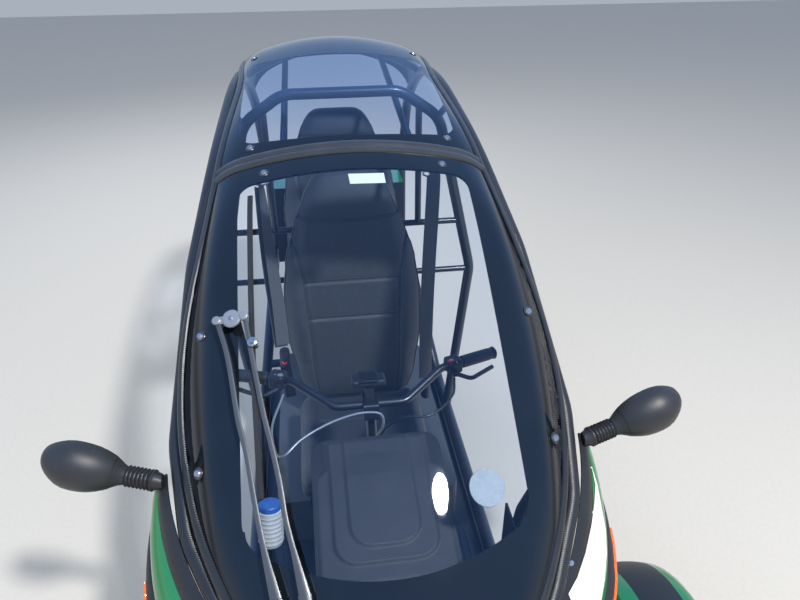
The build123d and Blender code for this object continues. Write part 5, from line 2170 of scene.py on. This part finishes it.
@dataclass
class SideDress:
    """White strip, amber reflectors and screws on the shoulders."""

    strip: tuple = (
        (591, 466), (595, 485), (594, 503), (591, 525), (585, 553), (577, 577), (570, 590), (568, 594),
        (572, 604), (600, 604), (604, 580), (606, 553), (605, 530), (600.5, 505), (596.5, 484),
    )
    reflector: tuple = (
        (-0.007, -0.001), (0.007, -0.001), (0.007, 0.003), (0.005, 0.005), (-0.005, 0.005), (-0.007, 0.003),
    )
    screw: Pair = (571, 563)
    # middle line of the reflector along the pod: y and height share down its side
    reflector_from: float = -1.06
    reflector_to: float = -0.86

    def build(self) -> None:
        """Make the strip, the reflectors and the screws."""
        skin = Skin("shoulder_panels", "marker_pods", "shoulder_trims")
        outline = [p for p in self.strip if self._on(skin, p)]
        place_piece(surface_patch("white_strip", skin, outline, WHITE_LABEL, 1.0))
        pods = Skin("marker_pods")
        bars = []
        for side in (-1, 1):
            run = self.reflector_to - self.reflector_from
            rows = [self.reflector_from + run * step / 12 for step in range(13)]
            heights = [self._flank(pods, side, y) for y in rows]
            for _ in range(12):
                inner = [(a + b + c) / 3 for a, b, c in zip(heights, heights[1:], heights[2:])]
                heights = [2 * inner[0] - inner[1]] + inner + [2 * inner[-1] - inner[-2]]
            seats = [pods.cast((side * 0.9, y, z), (-side, 0, 0)) for y, z in zip(rows, heights)]
            path = [place + normal * 0.001 for place, normal in seats]
            bars.append(sweep(f"bar_{side}", path, self.reflector, AMBER, [normal for _, normal in seats]))
        place_parts("side_reflectors", bars)
        place, normal = Skin("shoulder_trims").seen(*self.screw)
        across = Matrix.Diagonal((-1, 1, 1))
        seats = [(place, normal), (across @ place, across @ normal)]
        screws("shoulder_screws", seats, (0.007, 0.003), 0.001)

    def _on(self, skin: Skin, pixel: Pair) -> bool:
        """Whether a pixel falls on the surface."""
        return skin.cast(PHOTO_CAMERA.place, PHOTO_CAMERA.ray(*pixel)) is not None

    @staticmethod
    def _flank(skin: Skin, side: int, y: float) -> float:
        """Height at which a side skin reaches farthest out at one station."""
        rays = [((side * 0.9, y, 0.6 + step * 0.003), (-side, 0, 0)) for step in range(140)]
        return max((abs(place.x), place.z) for place, _ in skin.seats(rays))[1]


@dataclass
class Belts:
    """Seat belts hung from the hoop, with guides and buckles."""

    width: float = 0.046
    thick: float = 0.0014
    # rows of places along each strap, on the vehicle's right side and then the left
    right_straps: tuple = (
        (
            (-0.283, 0.262, 1.272), (-0.276, 0.21, 1.20), (-0.266, 0.12, 1.07), (-0.254, 0.05, 0.93),
            (-0.249, -0.005, 0.80),
        ),
        (
            (-0.296, 0.262, 1.262), (-0.290, 0.20, 1.16), (-0.281, 0.13, 1.02), (-0.268, 0.07, 0.90),
            (-0.256, 0.0, 0.79),
        ),
    )
    left_strap: tuple = (
        (0.294, 0.262, 1.272), (0.292, 0.20, 1.295), (0.276, 0.13, 1.19), (0.262, 0.09, 1.03),
        (0.252, 0.06, 0.86), (0.247, 0.04, 0.70), (0.246, 0.03, 0.58),
    )
    buckle: Point = (-0.250, -0.008, 0.765)

    def _strap(self, name: str, points: Sequence[Point], facing: Point, twist: float) -> Piece:
        """Make one strap, with its woven pattern running along it.

        Args:
            name: its name.
            points: places it passes.
            facing: which way its face looks at the end.
            twist: turn of its face at the start, in radians.

        Returns:
            The strap.
        """
        path = smooth_path(points, 10)
        last = len(path) - 1
        ups = [Matrix.Rotation(twist * (1 - i / last), 3, "Z") @ Vector(facing) for i in range(len(path))]
        half, thick = self.width / 2, self.thick / 2
        profile = [(-half, -thick), (half, -thick), (half, thick), (-half, thick)]
        made = sweep(name, path, profile, BELT, ups)
        layer = made.data.uv_layers.new(name="UVMap")
        for polygon in made.data.polygons:
            for loop in polygon.loop_indices:
                place = made.data.vertices[made.data.loops[loop].vertex_index].co
                near = min(range(len(path)), key=lambda i: (path[i] - place).length_squared)
                ahead = path[min(near + 1, last)] - path[max(near - 1, 0)]
                across = ahead.normalized().cross(ups[near]).normalized()
                layer.data[loop].uv = ((place - path[near]).dot(across), near * 0.012)
        return made

    def build(self) -> None:
        """Make the straps, guides and buckles."""
        straps = [self._strap("strap", row, (0.35, -1, 0.1), 0.9) for row in self.right_straps]
        straps.append(self._strap("strap", self.left_strap, (-0.15, -1, 0.35), -0.2))
        place_parts("belt_straps", straps)
        metal, black = [], []
        for side, top in ((-1, self.right_straps[0][0]), (1, self.left_strap[0])):
            place = Vector(top) + Vector((0, 0.004, 0.008))
            loop = [place + Vector((a * 0.026, 0, b * 0.012)) for a, b in (*ring(1.0, 28), (1.0, 0.0))]
            metal.append(sweep(f"guide_{side}", loop, ring(0.0032, 8), STEEL))
        spot = Vector(self.buckle)
        shell = [(0.0, 0.014), (0.006, 0.017), (0.045, 0.0175), (0.056, 0.016), (0.060, 0.011)]
        places = (spot - Vector((0, 0, 0.045)), (0.05, 0.12, 1)), ((0.247, 0.03, 0.500), (0, 0.1, 1))
        for index, (place, way) in enumerate(places):
            black.append(lathe(f"buckle_{index}", place, way, shell, PLASTIC, 28, 1.5))
        stalk = smooth_path(((spot.x, spot.y, spot.z - 0.04), (-0.246, 0.0, 0.66), (-0.243, 0.02, 0.56)), 8)
        band = [(-0.018, -0.002), (0.018, -0.002), (0.018, 0.002), (-0.018, 0.002)]
        black.append(sweep("buckle_stalk", stalk, band, PLASTIC, [(0.1, -1, 0.1)] * len(stalk)))
        button = ((0.0, 0.0085), (0.004, 0.0085), (0.005, 0.007))
        place = spot + Vector((0, -0.018, -0.022))
        black.append(lathe("button", place, (0.05, -1, 0.25), button, RED_BUTTON, 20, 0.7))
        place_parts("belt_guides", metal)
        place_parts("belt_buckles", black)


@dataclass
class BarDress:
    """Grips, switches, cables and screen of the handlebar."""

    grip_end: Point = (0.368, -0.372, 0.962)
    elbow: Point = (0.205, -0.432, 0.968)
    switch: Pair = (0.234, -0.43)
    rocker: tuple = ((0.0, 0.008), (0.004, 0.0078), (0.005, 0.006))
    # points of the brake hose and the throttle cable
    hose: tuple = (
        (-0.228, -0.474, 0.957), (-0.258, -0.560, 0.925), (-0.250, -0.635, 0.905), (-0.228, -0.662, 0.915),
        (-0.187, -0.635, 0.935), (-0.136, -0.612, 0.950), (-0.085, -0.599, 0.962), (-0.029, -0.593, 0.970),
        (0.018, -0.598, 0.965), (0.022, -0.602, 0.925), (-0.004, -0.572, 0.840), (-0.012, -0.560, 0.740),
    )
    cable: tuple = (
        (0.236, -0.470, 0.957), (0.215, -0.540, 0.955), (0.150, -0.590, 0.940), (0.080, -0.580, 0.930),
        (0.030, -0.552, 0.870), (0.016, -0.552, 0.790), (0.014, -0.566, 0.730),
    )

    def build(self) -> None:
        """Make the dress of both sides."""
        end = Vector(self.grip_end)
        profile = [(0.013, 0.0166)]
        ribs = 13
        for index in range(ribs):
            for share, reach in ((0.15, 0.0168), (0.35, 0.0177), (0.65, 0.0177), (0.85, 0.0168)):
                profile.append((0.014 + (index + share) * 0.092 / ribs, reach))
        profile.append((0.108, 0.0166))
        left = lathe("grip", end, Vector(self.elbow) - end, profile, BELLOWS, 32)
        place_parts("grip_ribs", [left, flipped("grip_twin", left)], Bodies.HANDLEBAR)
        controls = Skin("bar_controls")
        rays, blocks = [], []
        x, y = self.switch
        for side in (-1, 1):
            place, normal = controls.above(side * x, y)
            finish = RED_BUTTON if side > 0 else SILVER_COAT
            seat = place - normal * 0.001
            blocks.append(lathe(f"rocker_{side}", seat, normal, self.rocker, finish, 20, 0.7))
            rays += [((side * x + shift, y - shift * 0.4, 1.2), (0, 0, -1)) for shift in (-0.014, 0.014)]
        place_parts("bar_switches", blocks, Bodies.HANDLEBAR)
        screws("bar_screws", controls.seats(rays), (0.0032, 0.002), 0.0008, Bodies.HANDLEBAR)
        lines = []
        for name, points, finish in (("hose", self.hose, SILVER_COAT), ("cable", self.cable, TRIM)):
            lines.append(sweep(name, smooth_path(points, 8), ring(0.0032, 10), finish))
        place_parts("bar_cables", lines, Bodies.HANDLEBAR)
        self._screen()

    def _screen(self) -> None:
        """Make the dark screen and its bezel on the display."""
        low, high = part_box("display")
        skin = Skin("display")
        place, normal = skin.above((low.x + high.x) / 2, low.y + (high.y - low.y) * 0.62)
        turn = frame_of(normal)
        frames = []
        for name, half_x, half_y, base, top, finish in (
            ("bezel", 0.026, 0.036, -0.0005, 0.0012, PLASTIC),
            ("screen", 0.022, 0.030, 0.0010, 0.0016, SCREEN),
        ):
            corners = rounded_box(half_x, half_y, 0.005)
            rows = [[place + turn @ Vector((a, b, z)) for a, b in corners] for z in (base, top)]
            frames.append(loft(name, rows, finish))
        place_parts("display_screen", frames, Bodies.HANDLEBAR)


def rounded_box(half_x: float, half_y: float, corner: float, steps: int = 6) -> list[Pair]:
    """Corners of a rounded rectangle, counter-clockwise.

    Args:
        half_x: half its width.
        half_y: half its height.
        corner: radius of its corners.
        steps: pieces of each corner.

    Returns:
        The corners.
    """
    points = []
    for cx, cy, start in ((1, 1, 0), (-1, 1, 90), (-1, -1, 180), (1, -1, 270)):
        for step in range(steps + 1):
            angle = math.radians(start + 90 * step / steps)
            x = cx * (half_x - corner) + corner * math.cos(angle)
            points.append((x, cy * (half_y - corner) + corner * math.sin(angle)))
    return points


@dataclass
class DashThings:
    """Ribbed cup beside the console and clear suction dish inside the windshield."""

    cup: Point = (-0.272, -0.745, 0.775)
    rib: tuple = ((0.006, 0.0295), (0.010, 0.0315), (0.014, 0.0295))
    puck_pixel: Pair = (488.5, 487.0)
    # the dish's rim seats on the curved pane, so its middle stands off by this much
    puck_gap: float = 0.0018

    def build(self) -> None:
        """Make the cup with its cap, and the dish."""
        ribs = [(0.0, 0.028)]
        for index in range(7):
            ribs += [(along + index * 0.012, reach) for along, reach in self.rib]
        ribs += [(0.094, 0.030), (0.096, 0.027)]
        way = Vector((0.05, 0.25, 1)).normalized()
        spot = Vector(self.cup)
        cup = [lathe("cup", spot - way * 0.05, way, ribs, WHITE_PLASTIC, 40)]
        cap = ((0.0, 0.0275), (0.012, 0.027), (0.015, 0.024))
        cup.append(lathe("cap", spot + way * 0.045, way, cap, BLUE_CAP, 36))
        place_parts("ribbed_cup", cup)
        pane = Skin("windshield")
        outer, normal = pane.seen(*self.puck_pixel)
        inner, inward = pane.cast(outer - normal * 0.06, normal)
        dish = ((0.0, 0.0405), (0.003, 0.041), (0.005, 0.036), (0.007, 0.014), (0.016, 0.012), (0.018, 0.008))
        made = lathe("pale_puck", inner + inward * self.puck_gap, inward, dish, FROSTED, 48)
        place_piece(made)


@dataclass
class Tyre:
    """Road tyre with moulded grooves and sipes, turned about its axle."""

    node: str
    body: Bodies
    centre: Point
    radius: float = 0.28
    bead: float = 0.1836
    half: float = 0.075
    segments: int = 252
    depth: float = 0.0045
    # offset from the middle of the tread, and its groove's half width
    grooves: tuple = ((-0.026, 0.0032), (0.0, 0.0026), (0.026, 0.0032))

    def _outline(self) -> list[tuple[float, float, bool]]:
        """Across, radius and whether the point lies on the tread, from bead to bead.

        Returns:
            The points in order.
        """
        points = []
        for side in (-1, 1):
            row = [(side * (self.half - 0.014), self.bead, False)]
            for step in range(1, 9):
                share = step / 8
                bulge = math.sin(share * math.pi * 0.5)
                x = (self.half - 0.014) + 0.0138 * math.sin(min(1.0, share * 1.25) * math.pi * 0.5)
                reach = self.bead + (self.radius - 0.020 - self.bead) * share
                row.append((side * (x - 0.004 * max(0.0, share - 0.8) * 5 * bulge), reach, False))
            points.append(row)
        tread = []
        count = 44
        for step in range(count + 1):
            x = -1 + 2 * step / count
            across = x * (self.half - 0.007)
            drop = 0.014 * abs(x) ** 2.6
            tread.append((across, self.radius - drop, True))
        return points[0] + tread + list(reversed(points[1]))

    def build(self) -> None:
        """Make the tyre in the frame, axle along X."""
        outline = self._outline()
        centre = Vector(self.centre)
        rows = []
        for segment in range(self.segments):
            angle = math.tau * segment / self.segments
            row = []
            for across, reach, tread in outline:
                reach -= self._cut(across, segment) if tread else 0.0
                row.append(centre + Vector((across, -math.cos(angle) * reach, math.sin(angle) * reach)))
            rows.append(row)
        made = loft(f"{self.node}_tread", rows, TREAD, closed=True, angle=40)
        place_piece(made, self.body)
        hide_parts(self.node)

    def _cut(self, across: float, segment: int) -> float:
        """Depth of the grooves and sipes at a place on the tread.

        Args:
            across: place from the middle of the tread.
            segment: step round the tyre.

        Returns:
            How deep the tread is cut there.
        """
        if any(abs(across - middle) < half for middle, half in self.grooves):
            return self.depth
        siped = abs(across) > 0.031 or abs(abs(across) - 0.013) < 0.006
        return self.depth * 0.8 if siped and (segment + round(abs(across) * 110)) % 6 == 0 else 0.0


@dataclass
class WheelDress:
    """Wheel nuts and valves."""

    hub_face: float = 0.051
    bolt_circle: float = 0.035
    valve_angle: float = 0.52
    valve: tuple = ((-0.008, 0.0045), (0.010, 0.0040), (0.014, 0.0030), (0.026, 0.0030), (0.027, 0.002))

    def build(self) -> None:
        """Make the nuts and valves of each wheel."""
        for body, _, place, face in WHEELS:
            centre, way = Vector(place), Vector((face, 0, 0))
            seats = []
            for a, b in ring(self.bolt_circle, 8)[1::2]:
                seats.append((centre + way * self.hub_face + Vector((0, a, b)), way))
            screws(f"wheel_nuts_{body.value}", seats, (0.0085, 0.007), 0.0035, body)
            out = Vector((0, math.cos(self.valve_angle), math.sin(self.valve_angle)))
            spot = centre + way * 0.055 + out * 0.170
            stem = lathe(f"valve_{body.value}", spot, way * 0.55 - out, self.valve, TRIM, 12)
            place_piece(stem, body)


@dataclass
class CoilSprings:
    """Dampers with wound springs in place of the fluted sleeves."""

    radius: float = 0.0262
    wire: float = 0.0040

    def _unit(self, name: str, low: Vector, high: Vector, turns: int, across: Vector) -> list[Piece]:
        """Make one damper with its spring between two eyes.

        Args:
            name: start of its parts' names.
            low: the lower eye.
            high: the upper eye.
            turns: turns of the spring.
            across: the eyes' axis.

        Returns:
            The parts.
        """
        way = (high - low).normalized()
        length = (high - low).length
        start, stop = 0.044, length - 0.044
        body = [
            (0.010, 0.0095), (0.0125, 0.0195), (start - 0.0085, 0.0195), (start - 0.007, 0.0325),
            (start, 0.0325), (start + 0.001, 0.0150), (stop - 0.030, 0.0150), (stop - 0.029, 0.0085),
            (stop - 0.001, 0.0085), (stop, 0.0325), (stop + 0.007, 0.0325), (stop + 0.0085, 0.014),
            (length - 0.010, 0.010),
        ]
        parts = [lathe(f"{name}_damper", low, way, body, TUBE_COAT, 32)]
        turn = frame_of(way, across)
        path = []
        steps = 26
        for index in range(turns * steps + 1):
            angle = math.tau * index / steps
            share = index / (turns * steps)
            along = start + self.wire + (stop - start - 2 * self.wire) * share
            spot = Vector((math.cos(angle) * self.radius, math.sin(angle) * self.radius, along))
            path.append(low + turn @ spot)
        ups = [(p - low) - way * (p - low).dot(way) for p in path]
        parts.append(sweep(f"{name}_spring", path, ring(self.wire, 8), SPRING_COAT, ups))
        for index, eye in enumerate((low, high)):
            rim = [(-0.013, 0.0065), (-0.013, 0.0128), (0.013, 0.0128), (0.013, 0.0065)]
            parts.append(lathe(f"{name}_eye_{index}", eye, across, rim, TUBE_COAT, 28))
        return parts

    def build(self) -> None:
        """Make the front pair and the rear unit."""
        low_x, kingpin, pivot = 0.430, 0.6055, 0.215
        run = (kingpin - low_x) / (kingpin - pivot)
        low = Vector((low_x, -1.0 - run * 0.168, 0.168 + run * 0.044 + 0.0272))
        high = Vector((0.300, low.y, 0.580))
        left = join_parts("spring_left", self._unit("front", low, high, 8, Vector((0, 1, 0))))
        pair = place_parts("front_springs", [left, flipped("spring_right", left)])
        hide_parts("coilovers")
        rear = self._unit("rear", Vector((0, 0.668, 0.3383)), Vector((0, 0.770, 0.500)), 4, Vector((1, 0, 0)))
        made = place_parts("rear_spring", rear)
        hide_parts("rear_shock")


@dataclass
class FloorMat:
    """Ribbed rubber mat on the tub's floor."""

    half: float = 0.335
    front: float = -0.835
    rear: float = -0.345
    z: float = 0.2143

    def build(self) -> None:
        """Make the mat's base and its ribs, repeated by a node tree."""
        pieces = []
        for side in (-1, 1):
            low_x, high_x = (0.128, self.half) if side > 0 else (-self.half, -0.128)
            corners = [(low_x, self.front), (high_x, self.front), (high_x, self.rear), (low_x, self.rear)]
            rows = [[Vector((x, y, z)) for x, y in corners] for z in (self.z, self.z + 0.003)]
            pieces.append(loft(f"mat_{side}", rows, TRIM))
        t = NodeTree("mat_ribs")
        count = t.value("Count", "NodeSocketInt", 20)
        pitch = t.value("Pitch", "NodeSocketVector", (0.02, 0, 0))
        size = t.value("Size", "NodeSocketVector", (0.008, 0.4, 0.003))
        rib = t.node("GeometryNodeMeshCube", {}, {"Size": size})
        line = t.node("GeometryNodeMeshLine", {}, {"Count": count, "Offset": pitch})
        points = t.node("GeometryNodeMeshToPoints", {}, {"Mesh": line.outputs[0]})
        values = {"Points": points.outputs[0], "Instance": rib.outputs[0]}
        t.finish(t.node("GeometryNodeInstanceOnPoints", {}, values).outputs[0], TRIM)
        for side in (-1, 1):
            start = 0.140 if side > 0 else -self.half + 0.012
            base = mesh_object(f"ribs_{side}", [(0, 0, 0)], [], TRIM)
            size = (0.009, self.rear - self.front - 0.02, 0.003)
            t.apply(base, {"Count": 10, "Pitch": (0.0204, 0, 0), "Size": size})
            for vertex in base.data.vertices:
                vertex.co += Vector((start, (self.front + self.rear) / 2, self.z + 0.0044))
            pieces.append(base)
        place_parts("floor_mat", pieces)


@dataclass
class NoseDress:
    """Headlamp rings and the screws of the nose and rear."""

    lamp_x: float = 0.092
    lamp_y: float = -1.412
    lamp_z: float = 0.512
    lamp_radius: float = 0.052
    # distance along the lamp's axis and how far outside its lens
    rim: tuple = ((-0.001, 0.0006), (-0.001, 0.011), (0.004, 0.0125), (0.0085, 0.009), (0.0095, 0.0006))
    lock: tuple = (
        (-0.001, 0.013), (0.003, 0.0125), (0.0035, 0.009), (0.0028, 0.0085), (0.0028, 0.003),
        (0.0016, 0.0025),
    )
    screw_size: Pair = (0.006, 0.003)

    def build(self) -> None:
        """Make the rings, the screws and the lid's lock."""
        parts = []
        for side in (-1, 1):
            rim = [(along, self.lamp_radius + more) for along, more in self.rim]
            place = (side * self.lamp_x, self.lamp_y, self.lamp_z)
            parts.append(tube_ring(f"lamp_ring_{side}", place, (0, -1, 0), rim, SILVER_COAT))
        place_parts("lamp_rings", parts)
        rays = []
        for x, z in ((0.125, 0.36), (0.125, 0.44), (0.0, 0.345), (0.0, 0.575)):
            rays += [((side * x, -1.6, z), (0, 1, 0)) for side in ((-1, 1) if x else (1,))]
        screws("mask_screws", Skin("front_mask").seats(rays), self.screw_size, 0.0012)
        rays = []
        for z in (0.68, 0.96):
            rays += [((side * 0.6, y, z), (-side, 0, 0)) for side in (-1, 1) for y in (0.97, 1.06)]
        screws("trunk_screws", Skin("trunk").seats(rays), self.screw_size, 0.001)
        place, normal = Skin("trunk_lid").above(0.0, 1.35)
        lock = lathe("lid_lock", place + normal * 0.0004, normal, self.lock, STEEL, 28)
        place_piece(lock, Bodies.LID)


def tube_ring(name: str, place: Point, axis: Point, profile: Pairs, finish: Finish, steps: int = 48) -> Piece:
    """Closed ring turned about an axis, from its section as pairs of distance along the axis and radius.

    Args:
        name: its name.
        place: its centre.
        axis: its axis.
        profile: the section.
        finish: what it is made of.
        steps: pieces round the axis.

    Returns:
        The ring.
    """
    turn, place = frame_of(Vector(axis), Vector((0, 0, 1))), Vector(place)
    rows = []
    for a, b in ring(1.0, steps):
        rows.append([place + turn @ Vector((a * radius, b * radius, along)) for along, radius in profile])
    return loft(name, rows, finish, closed=True)


def main() -> None:
    """Build the studio and every sub-assembly in order."""
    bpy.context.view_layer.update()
    Studio().build()
    FrameFinishes().build()
    for row in ("driver", "passenger"):
        SeatBack(row=row).build()
        SeatCushion(row=row).build()
    GlassTrim().build()
    Wiper().build()
    ConsoleTop().build()
    Mirrors().build()
    SideDress().build()
    Belts().build()
    BarDress().build()
    DashThings().build()
    for body, node, centre, _ in WHEELS:
        Tyre(node, body, centre).build()
    WheelDress().build()
    CoilSprings().build()
    FloorMat().build()
    NoseDress().build()


if __name__ == "__main__":
    main()
